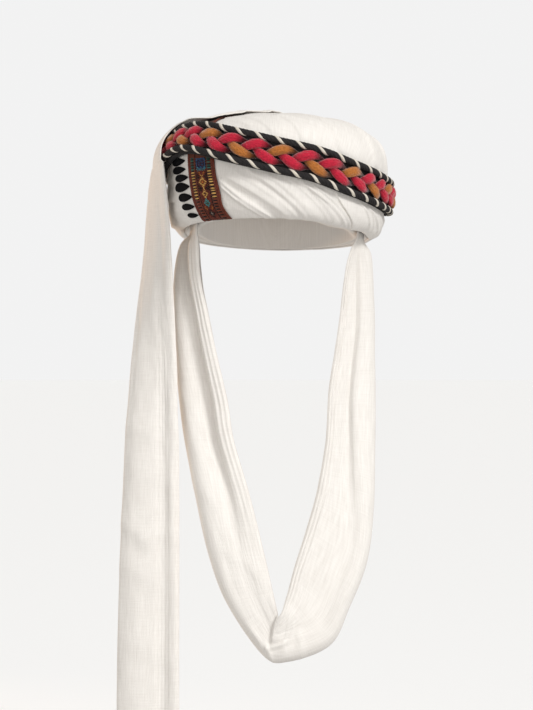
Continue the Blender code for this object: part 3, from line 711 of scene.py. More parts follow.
def finished(name, mesh, look):
    mesh.shade_smooth()
    piece = added(name, mesh)
    mesh.materials.append(look)
    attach(piece, "root")
    return piece


def copies(name, shape, count, place, look):
    """One mesh of many copies of a small shape; place(points) sets where their points go."""
    single = bpy.data.meshes.new(name)
    shape.to_mesh(single)
    shape.free()
    holder = added("holder", single)
    array = holder.modifiers.new("Copies", "ARRAY")
    array.count = count
    array.use_relative_offset = False
    bpy.context.view_layer.update()
    graph = bpy.context.evaluated_depsgraph_get()
    mesh = bpy.data.meshes.new_from_object(holder.evaluated_get(graph))
    bpy.data.objects.remove(holder)
    points = np.zeros(len(mesh.vertices) * 3)
    mesh.vertices.foreach_get("co", points)
    moved = place(points.reshape(count, -1, 3))
    mesh.vertices.foreach_set("co", (moved * MM).ravel())
    return finished(name, mesh, look)


def there_and_back(values):
    """Columns, then the same ones backwards, closed by the first."""
    return np.concatenate((values, values[:, ::-1], values[:, :1]), 1)


def full_turn(count):
    """Even steps round a full turn, as one row."""
    return np.linspace(0, 2 * np.pi, count + 1)[:-1][None, :]


def cloth_places(across, lengthways):
    """Cloth coordinates of a grid, from those of its columns and those of its rows."""
    across, lengthways = across[None, :], lengthways[:, None]
    return across + 0 * lengthways, lengthways + 0 * across


def crowded(columns, crowding):
    """Angles round the turban, closer together at the front."""
    turns = np.linspace(-180, 180, columns + 1)[:-1]
    return turns - math.degrees(crowding) * np.sin(np.radians(turns))


def clear_of_braid(distance, fade):
    """0 beside the braid, and 1 from fade past its shelf on."""
    return ramp(distance, BRAID_SHELF - SHELF_MARGIN, BRAID_SHELF + fade)


def over_strip(angle, height, margin):
    """1 over the embroidered strip, fading to 0 over a margin of degrees on both sides."""
    edges = read(STRIP_EDGES, height)
    left, right = edges[..., 0], edges[..., 1]
    return ramp(angle, left - margin, left) - ramp(angle, right, right + margin)


def dome_relief(spot):
    """How far the dome's turns and wrinkles stand out at points of its smooth skin."""
    angle, _ = angles_of(spot)
    clear = clear_of_braid(spot[..., 2] - braid_height(angle), 5)
    (cos, sin), (wide, long) = DOME_GRAIN, DOME_SPAN
    across = (spot[..., 0] * cos + spot[..., 1] * sin) / wide + 0.5
    lengthways = (spot[..., 0] * sin - spot[..., 1] * cos) / long + 0.5
    lift = pleats(DOME_PLEATS, spot[..., 0], spot[..., 1])
    lift += sum(height * noise(across, lengthways, *cells) for height, *cells in DOME_WRINKLES)
    return lift * clear * (1 - over_strip(angle, spot[..., 2], DOME_STRIP_MARGIN))


def crown_cloth(look):
    """The wound cap: its hollow, the wall behind the brow, and the dome's overlapping turns."""
    angle = crowded(CROWN_COLUMNS, FRONT_CROWDING)[:, None]
    turn = np.radians(np.linspace(90, 0, HOLLOW_ROWS))[None, :]
    inner = head_radius(angle)
    radius = inner * np.abs(np.cos(turn)) ** (2 / HEAD_POWER)
    radius[:, 0] = 0
    height = HEAD_STRAIGHT + (HEAD_TOP - HEAD_STRAIGHT) * np.sin(turn) ** (2 / HEAD_POWER)
    hollow = point_at(angle + 0 * turn, radius, height + 0 * radius)
    hem, seam = rim_height(angle) + CAP_HEM_RISE, braid_height(angle) + GAP
    wall = [
        point_at(angle, reach, level)
        for reach, level in ((inner, hem), (inner + CAP_WALL, hem), (inner + CAP_WALL, seam))
    ]
    start = climb_at(angle, seam)
    climb = start + (90 - start) * np.linspace(0, 1, DOME_ROWS)[None, :]
    around = angle + 0 * climb
    spot = skin_point(around, climb, 0 * climb)
    dome = skin_point(around, climb, dome_relief(spot))
    dome[:, -1] = dome[:, -1].mean(0)
    rows = np.concatenate((hollow, *wall, dome), 1)
    inside, outside = CROWN_ARCS
    arc = np.concatenate((
        np.linspace(inside, outside, HOLLOW_ROWS + 3), np.linspace(outside, 0, DOME_ROWS),
    ))
    turned = np.radians(np.append(angle[:, 0], 180))[:, None]
    places = (arc[None, :] * np.sin(turned), arc[None, :] * np.cos(turned))
    piece = lay_grid("crown_cloth", rows, places, look, ring=True)
    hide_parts("crown_wrap")


def brow_heights(angle, share):
    """Heights at shares of the way from the rim, round its roll, to the seam under the braid."""
    rim, seam = rim_height(angle), braid_height(angle) - GAP
    roll = rim + ROLL_HEIGHT * (1 - np.cos(np.pi / 2 * np.clip(share / ROLL_SHARE, 0, 1)))
    upper = np.clip((share - ROLL_SHARE) / (1 - ROLL_SHARE), 0, 1)
    return roll + (seam - rim - ROLL_HEIGHT) * upper


def brow_lift(angle, height, rows, wrinkle, seed):
    """How far pleats and wrinkles stand out of the brow's smooth skin."""
    clear = clear_of_braid(braid_height(angle) - height, 4)
    lift = pleats(unrolled(rows), angle * math.radians(HALF_DEPTH), height)
    slanted, up = (angle + height * WRINKLE_SLANT) / 360, (height + WRINKLE_BELOW) / WRINKLE_REACH
    for number, (share, *cells) in enumerate(BROW_WRINKLES):
        lift += share * wrinkle * noise(slanted, up, *cells, seed + number)
    turned = (angle + 180) % 360 - 180
    at_strip = ramp(turned, *CALM_AT_STRIP)
    strip = at_strip - ramp(turned - read(STRIP_EDGES, height)[..., 1], *CALM_PAST_STRIP)
    drops = DROPS_CALM * (ramp(turned, *CALM_AT_DROPS) - at_strip)
    return clear * lift * (1 - strip) * (1 - drops)


def brow_cloth(look):
    """The thick roll round the brow, sunk by one layer where the outer wrap covers it."""
    angle = crowded(BROW_COLUMNS, FRONT_CROWDING)[:, None]
    share = np.linspace(0, 1, BROW_ROWS)[None, :]
    height = brow_heights(angle, share)
    around = angle + 0 * height
    edge = read(WRAP_EDGE, height)[..., 0]
    sink_from, sink_to = SINK_AT_EDGE
    covered = ramp(around, edge + sink_from, edge + sink_to) + 1 - ramp(around, *SINK_AT_END)
    lift = brow_lift(around, height, BROW_PLEATS, BROW_WRINKLE_HEIGHT, 3) * (1 - covered)
    front = wall_point(around, height, lift - covered * (LAYER + GAP))
    pocket = 1 - ramp(np.abs(np.abs(angle) - LOOP_ANGLE), POCKET_HALF, POCKET_HALF + POCKET_FADE)
    inner = head_radius(angle) + CAP_WALL + GAP + LOOP_POCKET * pocket
    rim, seam = rim_height(angle), braid_height(angle) - GAP
    level = rim + (seam - rim) * np.array(BROW_BACK)[None, :]
    back = point_at(angle + 0 * level, inner + 0 * level, level)
    rows = np.concatenate((front, back), 1)
    run = np.radians(np.append(angle[:, 0], 180)) * HALF_DEPTH
    places = cloth_places(np.linspace(0, BROW_GIRTH, rows.shape[1] + 1), run)[::-1]
    piece = lay_grid("brow_cloth", rows, places, look, ring=True, tube=True)
    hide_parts("brow_wrap")


def outer_cloth(look):
    """The last turn of cloth, from its free edge at the right of the brow round to the left."""
    share = np.linspace(0, 1, BROW_ROWS)[None, :]
    step = np.linspace(0, 1, OUTER_COLUMNS)[:, None]
    edge = EDGE_GUESS + 0 * share
    for _ in range(EDGE_PASSES):
        edge = read(WRAP_EDGE, brow_heights(edge, share))[..., 0]
    angle = edge + (LAYER_END_ANGLE - edge) * step**EDGE_CROWDING
    height = brow_heights(angle, share)
    past = angle - edge
    proud = LAYER_PROUD * (1 - ramp(past, *PROUD_FADE))
    proud = proud * clear_of_braid(braid_height(angle) - height, 6)
    lift = proud + brow_lift(angle, height, OUTER_PLEATS, OUTER_WRINKLE_HEIGHT, 7)
    face = wall_point(angle, height, lift)
    back = wall_point(angle, height, np.minimum(0, lift) - LAYER)
    roll = np.sqrt(1 - (1 - np.clip(past / EDGE_ROLL, 0, 1)) ** 2)
    middle = (face + back) / 2
    face = middle + (face - middle) * roll[..., None]
    back = middle + (back - middle) * roll[..., None]
    rows = np.concatenate((back, face[:, ::-1]), 1)
    rows[-1, BROW_ROWS:] = rows[-1, :BROW_ROWS][::-1]
    places = (there_and_back(angle) * math.radians(HALF_DEPTH), there_and_back(height))
    piece = lay_grid("outer_cloth", rows, places, look, tube=True)
    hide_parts("outer_wrap")


def strip_point(across, up, lift):
    """A point of the embroidered strip: across in widths from its middle, up as a share of it."""
    middle = np.full_like(up, STRIP_MIDDLE_ANGLE)
    low = climb_at(middle, rim_height(middle) + STRIP_START)
    climb = low + (STRIP_TOP_CLIMB - low) * up
    distance = skin_distance(middle, climb)
    height = HEART[2] + np.sin(np.radians(climb)) * distance
    edges = read(STRIP_EDGES, height)
    angle = edges[..., 0] + (edges[..., 1] - edges[..., 0]) * (across + 0.5)
    skew = climb_at(angle, rim_height(angle) + STRIP_START) - low
    climb = climb + skew * np.clip(1 - up / STRIP_SKEW_SHARE, 0, 1)
    return skin_point(angle, climb, lift)


def strip_ground(look):
    """The brown ground of the border."""
    up = np.linspace(0, 1, STRIP_ROWS)[:, None]
    across = np.linspace(-0.5, 0.5, STRIP_COLUMNS)[None, :]
    up, across = up + 0 * across, across + 0 * up
    rib = STRIP_RIB * np.cos(up * 2 * np.pi * STRIP_RIBS)
    face = strip_point(across, up, STRIP_SEAT + STRIP_FACE + rib)
    back = strip_point(across, up, STRIP_SEAT + 0 * up)
    rows = np.concatenate((back, face[:, ::-1]), 1)
    rows[0], rows[-1] = (rows[0] + rows[0][::-1]) / 2, (rows[-1] + rows[-1][::-1]) / 2
    places = (there_and_back(across) * STRIP_WIDTH, there_and_back(up) * STRIP_LENGTH)
    piece = lay_grid("strip_ground", rows, places, look, tube=True)
    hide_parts("embroidered_strip")


def stitch_list():
    """Every stitch of the border: place across and up, size across and up, and its thread."""
    middle = np.float64(STRIP_MIDDLE_ANGLE)
    low = climb_at(middle, rim_height(middle) + STRIP_START)

    def up_at(height):
        return (climb_at(middle, height) - low) / (STRIP_TOP_CLIMB - low)

    rows = []
    for line, half in enumerate(MIDDLE_CHART):
        threads = half + half[-2::-1]
        height = CHART_TOP - CHART_STEP * line
        size = up_at(height + CHART_STEP / 2) - up_at(height - CHART_STEP / 2)
        for column, thread in enumerate(threads):
            cell = CHART_WIDTH / len(threads)
            across = (column - (len(threads) - 1) / 2) * cell / STRIP_WIDTH + CHART_SHARE
            wide = cell * STITCH_WIDE / STRIP_WIDTH
            rows.append((across, up_at(height), wide, size * STITCH_LONG, thread))
    bars = int((CHART_TOP - BARS_END) / BAR_STEP) + 1
    wide = BAR_LENGTH / STRIP_WIDTH
    for line in range(bars):
        height = CHART_TOP + BAR_ABOVE_CHART - BAR_STEP * line
        size = up_at(height + BAR_STEP / 2) - up_at(height - BAR_STEP / 2)
        thread = next(name for level, name in BAR_THREADS if height > level)
        for place in BAR_COLUMNS:
            rows.append((place, up_at(height), wide, size * BAR_FILL, thread))
            between = up_at(height - BAR_STEP / 2)
            rows.append((place, between, wide * STITCH_LONG, size * DARK_FILL, "k"))
    for place, thread in EDGE_LINES:
        for index in range(LINE_STITCHES):
            up = (index + 0.5) / LINE_STITCHES
            rows.append((place, up, LINE_WIDTH, STITCH_LONG / LINE_STITCHES, thread))
    return rows


def ball():
    """A small ball whose faces have a fixed order; the primitive's own varies from run to run."""
    varying = bmesh.new()
    bmesh.ops.create_uvsphere(varying, u_segments=6, v_segments=4, radius=0.5)
    varying.verts.index_update()
    shape = bmesh.new()
    spots = [shape.verts.new(corner.co) for corner in varying.verts]
    for corners in sorted([corner.index for corner in face.verts] for face in varying.faces):
        shape.faces.new([spots[index] for index in corners])
    varying.free()
    return shape


def strip_stitches(look):
    """The border's raised stitches."""
    rows = stitch_list()
    numbers = np.array([row[:4] for row in rows])
    draw = np.random.default_rng(11)
    numbers[:, :2] += draw.normal(0, STITCH_SCATTER, (len(rows), 2))
    shades = np.array([THREADS[row[4]] for row in rows])
    shades = shades * draw.uniform(*STITCH_TONES, (len(rows), 1))

    def place(points):
        across = numbers[:, None, 0] + points[..., 0] * numbers[:, None, 2]
        up = numbers[:, None, 1] + points[..., 1] * numbers[:, None, 3]
        lift = STRIP_SEAT + STRIP_FACE + points[..., 2] * STITCH_HEIGHT
        return strip_point(np.clip(across, -0.5, 0.5), np.clip(up, 0, 1), lift)

    piece = copies("strip_stitches", ball(), len(rows), place, look)
    each = len(piece.data.vertices) // len(rows)
    colour = np.ones((len(rows), each, 4))
    colour[..., :3] = shades[:, None]
    layer = piece.data.color_attributes.new(name="Thread", type="FLOAT_COLOR", domain="POINT")
    layer.data.foreach_set("color", colour.ravel())


def drop(number, angle, height, length, half_height, look):
    """A black satin drop: domed, round at -X, with its point towards the strip."""
    angle, height = np.float64(angle), np.float64(height)
    climb = climb_at(angle, height)
    middle = skin_point(angle, climb, np.float64(0))
    side = unit(skin_point(angle + 1, climb, 0) - skin_point(angle - 1, climb, 0))
    rise = np.cross(side, heading(angle))
    rise = unit(rise) * np.sign(rise[2])
    turn = full_turn(DROP_SIDES)
    scale = np.sin(np.linspace(0, np.pi / 2, DROP_RINGS))[:, None]
    aside = length / 2 * np.cos(turn) * scale
    up = half_height * np.sin(turn) * np.sin(turn / 2) ** DROP_TAPER * scale
    spots = middle + side * aside[..., None] + rise * up[..., None]
    around, climbs = angles_of(spots)
    dome = np.sqrt(1 - scale**2) ** DROP_ROUNDING + 0 * turn
    stitch = SATIN_RIB * np.cos(aside * 2 * np.pi / SATIN_STEP) * np.sin(scale * np.pi)
    top = skin_point(around, climbs, SEAT + DROP_EDGE + DROP_THICKNESS * dome + stitch)
    under = skin_point(around, climbs, SEAT + 0 * dome)
    rows = np.concatenate((top, under[::-1]), 0)
    u = np.append(aside, aside[:, :1], 1)
    v = np.append(up, up[:, :1], 1)
    places = (np.concatenate((u, u[::-1])), np.concatenate((v, v[::-1])))
    piece = lay_grid(f"satin_drop_{number}", rows, places, look, tube=True)
    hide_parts(f"teardrop_{number}")


def braid_lift(angle):
    """The band rises a little where it passes over the embroidered strip."""
    away = np.abs((angle - STRIP_MIDDLE_ANGLE + 180) % 360 - 180)
    over_strip = 1 - ramp(away, STRIP_CLEARANCE, STRIP_CLEARANCE + STRIP_FADE)
    return SEAT + (STRIP_SEAT + STRIP_THICKNESS + GAP) * over_strip


def band_frame(angle):
    """The braid's seat at an angle, with its directions over the band and away from the skin."""
    def seat(at):
        return point_at(at, wall_radius(at, braid_height(at)), braid_height(at))

    run = unit(seat(angle + 1) - seat(angle - 1))
    height, reach = braid_height(angle), GROUND_HALF_WIDTH / 2
    higher = heading(angle) * wall_radius(angle, height + reach)[..., None]
    lower = heading(angle) * wall_radius(angle, height - reach)[..., None]
    away = unit(np.cross(run, higher - lower + upright(2 * reach + 0 * height)))
    return seat(angle), unit(np.cross(away, run)), away


def on_band(angle, across, out):
    """A point of the braid: across is up over the band, out is away from the skin."""
    seat, up, away = band_frame(angle)
    return seat + up * across[..., None] + away * (out + braid_lift(angle))[..., None]


def band_ground(look):
    """The black ribbed band under the plait."""
    shares = np.linspace(-1, 1, BAND_ROWS)
    angle = (np.linspace(-180, 180, BAND_COLUMNS + 1)[:-1])[:, None]
    place = GROUND_HALF_WIDTH * shares[None, :]
    around, across = angle + 0 * place, place + 0 * angle
    rib = BAND_RIB * np.cos(np.radians(around) * BAND_RIBS) * (1 - np.abs(shares[None, :]) ** 8)
    face = on_band(around, across, GROUND_THICKNESS - BAND_RIB + rib)
    at, climb = angles_of(on_band(around, across, GROUND_THICKNESS + 0 * across))
    back = skin_point(at, climb, braid_lift(around))
    rows = np.concatenate((back, face[:, ::-1]), 1)
    run = np.linspace(0, BAND_LENGTH, BAND_COLUMNS + 1)
    places = cloth_places(there_and_back(place)[0], run)[::-1]
    piece = lay_grid("band_ground", rows, places, look, ring=True, tube=True)
    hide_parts("braid_ground")


def tube(path, up, wide, thick, turns):
    """Rings of points round a closed path, given the way that is up at each of its points."""
    run = unit(np.roll(path, -1, 0) - np.roll(path, 1, 0))
    side = unit(np.cross(up, run))
    out = unit(np.cross(run, side))
    return (
        path[:, None] + side[:, None] * (wide * np.cos(turns))[..., None]
        + out[:, None] * (thick * np.sin(turns))[..., None]
    )


def strand_rings(number):
    """One fat strand of the plait, its yarns standing up as ridges, and how high each row lies."""
    step = np.arange(STRAND_STEPS)
    angle = 360 * step / STRAND_STEPS - 180
    phase = 2 * np.pi * (step * PLAIT_PERIODS / STRAND_STEPS + PLAIT_PHASE + number / 3)
    high = 0.5 + 0.5 * np.sin(2 * phase)
    path = on_band(angle, PLAIT_SWING * np.sin(phase), STRAND_BASE + STRAND_WAVE * (2 * high - 1))
    up = band_frame(angle)[2]
    turns = full_turn(STRAND_SIDES)
    least, more = STRAND_WIDTH
    fat = (least + more * high)[:, None]
    deep = (STRAND_LEAST_DEPTH + (STRAND_DEPTH - STRAND_LEAST_DEPTH) * high)[:, None]
    twist = step[:, None] / STRAND_STEPS * 2 * np.pi * YARN_TURNS
    yarn = YARN_HEIGHT * np.abs(np.cos((turns * YARNS + twist * 2) / 2)) ** YARN_FURROW
    around, lengthways = turns / (2 * np.pi) + 0 * twist, NOISE_SPAN * step[:, None] / STRAND_STEPS
    rough = sum(
        height * noise(around, lengthways, wide, long, seed + number)
        for height, wide, long, seed in STRAND_ROUGHNESS
    )
    size = (yarn + rough) * (0.6 + 0.4 * high[:, None])
    return tube(path, up, fat + size, deep + size, turns), high


def strand(name, plait, number, look):
    rows, high = strand_rings(number)
    girth, length = STRAND_CLOTH
    places = cloth_places(
        np.linspace(0, girth, STRAND_SIDES + 1), np.linspace(0, length, STRAND_STEPS + 1))
    # Painted shade: the strand's colour darkens where it lies low and dives under the next one
    painted_shade = np.repeat(high[:, None], STRAND_SIDES, 1)
    piece = lay_grid(name, rows, places, look, ring=True, tube=True, painted_shade=painted_shade)
    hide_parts(plait)


def wool_fuzz(name, number, look):
    """Short loose fibres that stand off a strand."""
    surface, high = strand_rings(number)
    lines = unit(np.roll(surface, -1, 0) - surface)
    centre = surface.mean(1, keepdims=True)
    outward = unit(surface - centre)
    draw = np.random.default_rng(40 + number)
    row = draw.integers(0, STRAND_STEPS, FIBRES)
    corner = draw.integers(0, STRAND_SIDES, FIBRES)
    start, line, out = surface[row, corner], lines[row, corner], outward[row, corner]
    side = np.cross(line, out)
    lean = line * draw.choice((-1, 1), (FIBRES, 1)) * draw.uniform(0.4, 1.4, (FIBRES, 1))
    lean = lean + out * draw.uniform(0.2, 1.0, (FIBRES, 1))
    way = unit(lean + side * draw.normal(0, 0.7, (FIBRES, 1)))
    length = draw.uniform(0.8, 2.4, (FIBRES, 1))
    shape = bmesh.new()
    bmesh.ops.create_cone(shape, segments=3, radius1=1, radius2=0, depth=1, cap_ends=True)

    def place(points):
        first = unit(np.cross(way, out + 0.01))
        second = np.cross(way, first)
        reach = (points[..., 2:] + 0.5) * length[:, None]
        spots = (start - out * FIBRE_ROOT)[:, None] + way[:, None] * reach
        spots += first[:, None] * points[..., 0:1] * FIBRE_RADIUS
        return spots + second[:, None] * points[..., 1:2] * FIBRE_RADIUS

    piece = copies(name, shape, FIBRES, place, look)
    # Painted shade, taken from the strand where each fibre starts
    each = len(piece.data.vertices) // FIBRES
    layer = piece.data.attributes.new(name="Shade", type="FLOAT", domain="POINT")
    layer.data.foreach_set("value", np.repeat(high[row], each))


def cord_ply(name, across, ply, look, slot, size, proud):
    """One ply of the twisted cord along an edge of the band."""
    step = np.arange(PLY_STEPS)
    angle = 360 * step / PLY_STEPS - 180
    twist = 2 * np.pi * (CORD_TURNS * step / PLY_STEPS + ply / PLIES)
    reach = CORD_RADIUS - size + proud
    out = GROUND_THICKNESS + GAP + CORD_RADIUS + reach * np.sin(twist)
    path = on_band(angle, across + reach * np.cos(twist), out)
    centre = on_band(angle, across + 0 * twist, GROUND_THICKNESS + GAP + CORD_RADIUS + 0 * twist)
    turns = full_turn(PLY_SIDES)
    size = size + 0 * step[:, None]
    rows = tube(path, unit(path - centre), size * PLY_FLATTENING, size, turns)
    girth, length = PLY_CLOTH
    places = cloth_places(np.linspace(0, girth, PLY_SIDES + 1), np.linspace(0, length, PLY_STEPS + 1))
    piece = lay_grid(name, rows, places, look, ring=True, tube=True)
    return piece


def edge_cord(place, across, black, cream):
    for ply in range(PLIES):
        if ply == PLIES - 1:
            kind = (cream, "white_cotton", CREAM_PLY, CREAM_PROUD)
        else:
            kind = (black, "black_thread", BLACK_PLY, 0)
        piece = cord_ply(f"cord_{place}_ply_{ply + 1}", across, ply, *kind)
        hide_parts(f"edge_cord_{place}")


def push_out(points, order):
    """Move points that would be inside the turban or its braid out to clear of them."""
    angle, climb = angles_of(points)
    offset = points - HEART
    spot = skin_point(angle, climb, 0 * angle)
    aside = np.abs(spot[..., 2] - braid_height(angle))
    hump = STRAND_BASE + STRAND_WAVE + STRAND_DEPTH + braid_lift(angle)
    cover = hump * (1 - ramp(aside, HUMP_TOP, HUMP_TOP + HUMP_FADE))
    cover = np.maximum(cover, dome_relief(spot)) + DRAPE_SEAT
    inside = over_strip(angle, spot[..., 2], DRAPE_STRIP_MARGIN)
    cover = cover + (STRIP_SEAT + STRIP_THICKNESS) * inside * ramp(spot[..., 2], *DRAPE_STRIP_FADE)
    distance = np.linalg.norm(offset, axis=-1)
    reach = np.linalg.norm(spot - HEART, axis=-1) + cover + order * DRAPE_ORDER
    above = points[..., 2] >= rim_height(angle)
    far = np.where(above, np.maximum(distance, reach), distance)
    return HEART + offset / distance[..., None] * far[..., None]


def section_at(forms, share, path):
    """The cloth's section at shares of its length, blended between the forms given there."""
    stations = np.array([station for station, _ in forms])
    shapes = np.array([along(rows, path) for _, rows in forms])
    spot = np.clip(np.searchsorted(stations, share) - 1, 0, len(stations) - 2)
    mix = ramp(share, stations[spot], stations[spot + 1])[:, None, None]
    return shapes[spot] * (1 - mix) + shapes[spot + 1] * mix


def folded_cloth(table, forms, ridges, creases, paths, steps, crowding, seed):
    """A sheet folded lengthways between two edges: its middle surface, and its forms' third column."""
    share = np.linspace(0, 1, steps) ** crowding
    values = along(table, share)
    start, end, depth = values[:, None, :3], values[:, None, 3:6], values[:, 6:]
    away = unit(np.cross(end - start, np.gradient(start + end, axis=0)))
    path = np.linspace(0, 1, paths)
    section = section_at(forms, share, path)
    place, rise, order = section[..., 0], section[..., 1], section[..., 2:]
    fine = sum(
        height * np.exp(-(((path - at) / half) ** 2))
        * (ramp(share, begin, begin + RIDGE_FADE) - ramp(share, end - RIDGE_FADE, end))[:, None]
        for at, half, height, begin, end in ridges
    )
    across, lengthways = path[None, :] * WAVES_SPAN + 0 * place, share[:, None] + 0 * place
    waves = sum(
        height * noise(across, lengthways, wide, long, seed + wide)
        for height, wide, long in CLOTH_WAVES
    )
    lift = depth * rise + fine + waves * np.minimum(1, depth / FULL_WAVES)
    flat = start + (end - start) * place[..., None]
    front = ramp(rise, *CREASES_SHOWN)
    lift += front * pleats(creases, flat[..., 0], flat[..., 2]) * (flat[..., 2] < CREASES_BELOW)
    return flat + away * lift[..., None], order


def thick_sheet(name, points, look):
    """Give a middle surface its two faces, which meet at the sheet's own edges."""
    normal = unit(np.cross(np.gradient(points, axis=0), np.gradient(points, axis=1)))
    half = np.full(points.shape[:2], CLOTH_THICKNESS / 2)
    half[0], half[-1], half[:, 0], half[:, -1] = 0, 0, 0, 0
    face, back = points + normal * half[..., None], points - normal * half[..., None]
    rows = np.concatenate((face, back[:, -2:0:-1]), 1)
    run = np.append(0, np.cumsum(np.linalg.norm(np.diff(points.mean(1), axis=0), axis=-1)))
    middle = points[len(points) // 2]
    wide = np.append(0, np.cumsum(np.linalg.norm(np.diff(middle, axis=0), axis=-1)))
    places = cloth_places(np.concatenate((wide, wide[-2:0:-1], wide[:1])), run)
    piece = lay_grid(name, rows, places, look, tube=True)
    return piece, (float(wide[-1]) * MM, float(run[-1]) * MM)


def tail_cloth(look):
    """The free end, folded lengthways: over the dome and the braid, then hanging to its hem."""
    points, order = folded_cloth(TAIL, TAIL_FORMS, TAIL_RIDGES, TAIL_CREASES, 110, 290, 1.25, 60)
    piece, flat = thick_sheet("tail_cloth", push_out(points, order[..., 0]), look)
    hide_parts("tail")


def chin_cloth(look):
    """The wide loop, folded lengthways, with its ends tucked up behind the brow."""
    points, _ = folded_cloth(CHIN_LOOP, LOOP_FORMS, LOOP_RIDGES, LOOP_CREASES, 100, 310, 1, 70)
    piece, flat = thick_sheet("chin_cloth", points, look)
    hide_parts("chin_loop")


def group(name, inputs, outputs):
    """An empty shader node group with its sockets."""
    tree = bpy.data.node_groups.new(name, "ShaderNodeTree")
    for label, kind, value in inputs:
        socket = tree.interface.new_socket(label, in_out="INPUT", socket_type=kind)
        if value is not None:
            socket.default_value = value
    for label, kind in outputs:
        tree.interface.new_socket(label, in_out="OUTPUT", socket_type=kind)
    return tree, tree.nodes.new("NodeGroupInput"), tree.nodes.new("NodeGroupOutput")


def node(tree, kind, **values):
    """A node with named socket values; a value that is a socket is linked."""
    made = tree.nodes.new(kind)
    for label, value in values.items():
        socket = made.inputs[int(label[1:])] if label[0] == "_" and label[1:].isdigit() else None
        if socket is None and hasattr(made, label):
            setattr(made, label, value)
            continue
        socket = socket or made.inputs[label.replace("_", " ")]
        if isinstance(value, bpy.types.NodeSocket):
            tree.links.new(value, socket)
        else:
            socket.default_value = value
    return made


def maths(tree, operation, first, second):
    return node(tree, "ShaderNodeMath", operation=operation, _0=first, _1=second).outputs[0]


def weave_group():
    """Plain weave with thick and thin yarns; puts out its height and its tone."""
    tree, given, out = group(
        "Plain weave",
        [("Yarns per metre", "NodeSocketFloat", 1500.0), ("Slubs", "NodeSocketFloat", 1.0)],
        [("Height", "NodeSocketFloat"), ("Tone", "NodeSocketFloat")],
    )
    place = node(tree, "ShaderNodeUVMap", uv_map="Cloth")
    parts = node(tree, "ShaderNodeSeparateXYZ", Vector=place.outputs[0])
    waves = []
    for axis in range(2):
        turned = maths(tree, "MULTIPLY", parts.outputs[axis], given.outputs["Yarns per metre"])
        waves.append(maths(tree, "SINE", maths(tree, "MULTIPLY", turned, 2 * math.pi), 0))
    cross = maths(tree, "MULTIPLY", waves[0], waves[1])
    slubs = []
    for scale, seed in (((1000, 45, 1), 3.0), ((45, 1000, 1), 9.0)):
        spread = node(tree, "ShaderNodeMapping", Vector=place.outputs[0], Scale=scale)
        slub = node(tree, "ShaderNodeTexNoise", Vector=spread.outputs[0], Scale=1.0, Detail=2.0)
        slubs.append(maths(tree, "MULTIPLY", slub.outputs["Fac"], given.outputs["Slubs"]))
        spread.inputs["Location"].default_value = (seed, seed, 0)
    both = maths(tree, "ADD", slubs[0], maths(tree, "MULTIPLY", slubs[1], 0.5))
    height = maths(tree, "ADD", maths(tree, "MULTIPLY", cross, 0.25), both)
    tree.links.new(height, out.inputs["Height"])
    tree.links.new(both, out.inputs["Tone"])
    return tree


def new_look(name, colour, roughness, sheen):
    look = bpy.data.materials.new(name)
    look.use_nodes = True
    shader = look.node_tree.nodes["Principled BSDF"]
    shader.inputs["Base Color"].default_value = (*colour, 1)
    shader.inputs["Roughness"].default_value = roughness
    shader.inputs["Sheen Weight"].default_value = sheen
    shader.inputs["Sheen Roughness"].default_value = 0.4
    shader.inputs["Specular IOR Level"].default_value = 0.08
    return look, look.node_tree, shader


def tinted(tree, shader, factor, dark, light):
    """Base colour between two shades."""
    mix = tree.nodes.new("ShaderNodeMix")
    mix.data_type = "RGBA"
    tree.links.new(factor, mix.inputs["Factor"])
    mix.inputs["A"].default_value = (*dark, 1)
    mix.inputs["B"].default_value = (*light, 1)
    tree.links.new(mix.outputs["Result"], shader.inputs["Base Color"])


def bumped(tree, shader, height, distance, strength):
    bump = node(tree, "ShaderNodeBump", Height=height, Distance=distance, Strength=strength)
    tree.links.new(bump.outputs[0], shader.inputs["Normal"])


def cotton_look(weave):
    look, tree, shader = new_look("cotton cloth", (0.86, 0.84, 0.81), 0.88, 0.12)
    cloth = tree.nodes.new("ShaderNodeGroup")
    cloth.node_tree = weave
    cloth.inputs["Yarns per metre"].default_value = 1300
    cloth.inputs["Slubs"].default_value = 1.0
    tinted(tree, shader, cloth.outputs["Tone"], (0.66, 0.625, 0.585), (0.86, 0.835, 0.80))
    bumped(tree, shader, cloth.outputs["Height"], 0.0005, 0.55)
    return look


def streaks(tree, stretch, detail):
    """Noise stretched along the cloth's own coordinates."""
    place = node(tree, "ShaderNodeUVMap", uv_map="Cloth")
    spread = node(tree, "ShaderNodeMapping", Vector=place.outputs[0], Scale=stretch)
    noise_node = node(tree, "ShaderNodeTexNoise", Vector=spread.outputs[0], Scale=1.0, Detail=detail)
    return noise_node.outputs["Fac"]


def thread_look(name, dark, light, roughness, sheen, stretch):
    """Twisted or laid thread: fine streaks along its own length."""
    look, tree, shader = new_look(name, light, roughness, sheen)
    streak = streaks(tree, stretch, 3.0)
    tinted(tree, shader, streak, dark, light)
    bumped(tree, shader, streak, 0.0006, 0.6)
    return look


def wool_look(name, dark, light):
    """Fuzzy wool: streaks along the strand, and painted shade where it dives under the next one."""
    look, tree, shader = new_look(name, light, 0.95, 0.5)
    streak = streaks(tree, (1300, 520, 1), 5.0)
    high = node(tree, "ShaderNodeAttribute", attribute_name="Shade")
    lit = node(
        tree, "ShaderNodeMapRange", Value=high.outputs["Fac"],
        From_Min=0.2, From_Max=0.8, To_Min=0.0, To_Max=1.7,
    )
    # The base colour darkens with the streaks and with the painted shade of the Shade attribute
    tinted(tree, shader, maths(tree, "MULTIPLY", streak, lit.outputs[0]), dark, light)
    bumped(tree, shader, streak, 0.0011, 1.0)
    return look


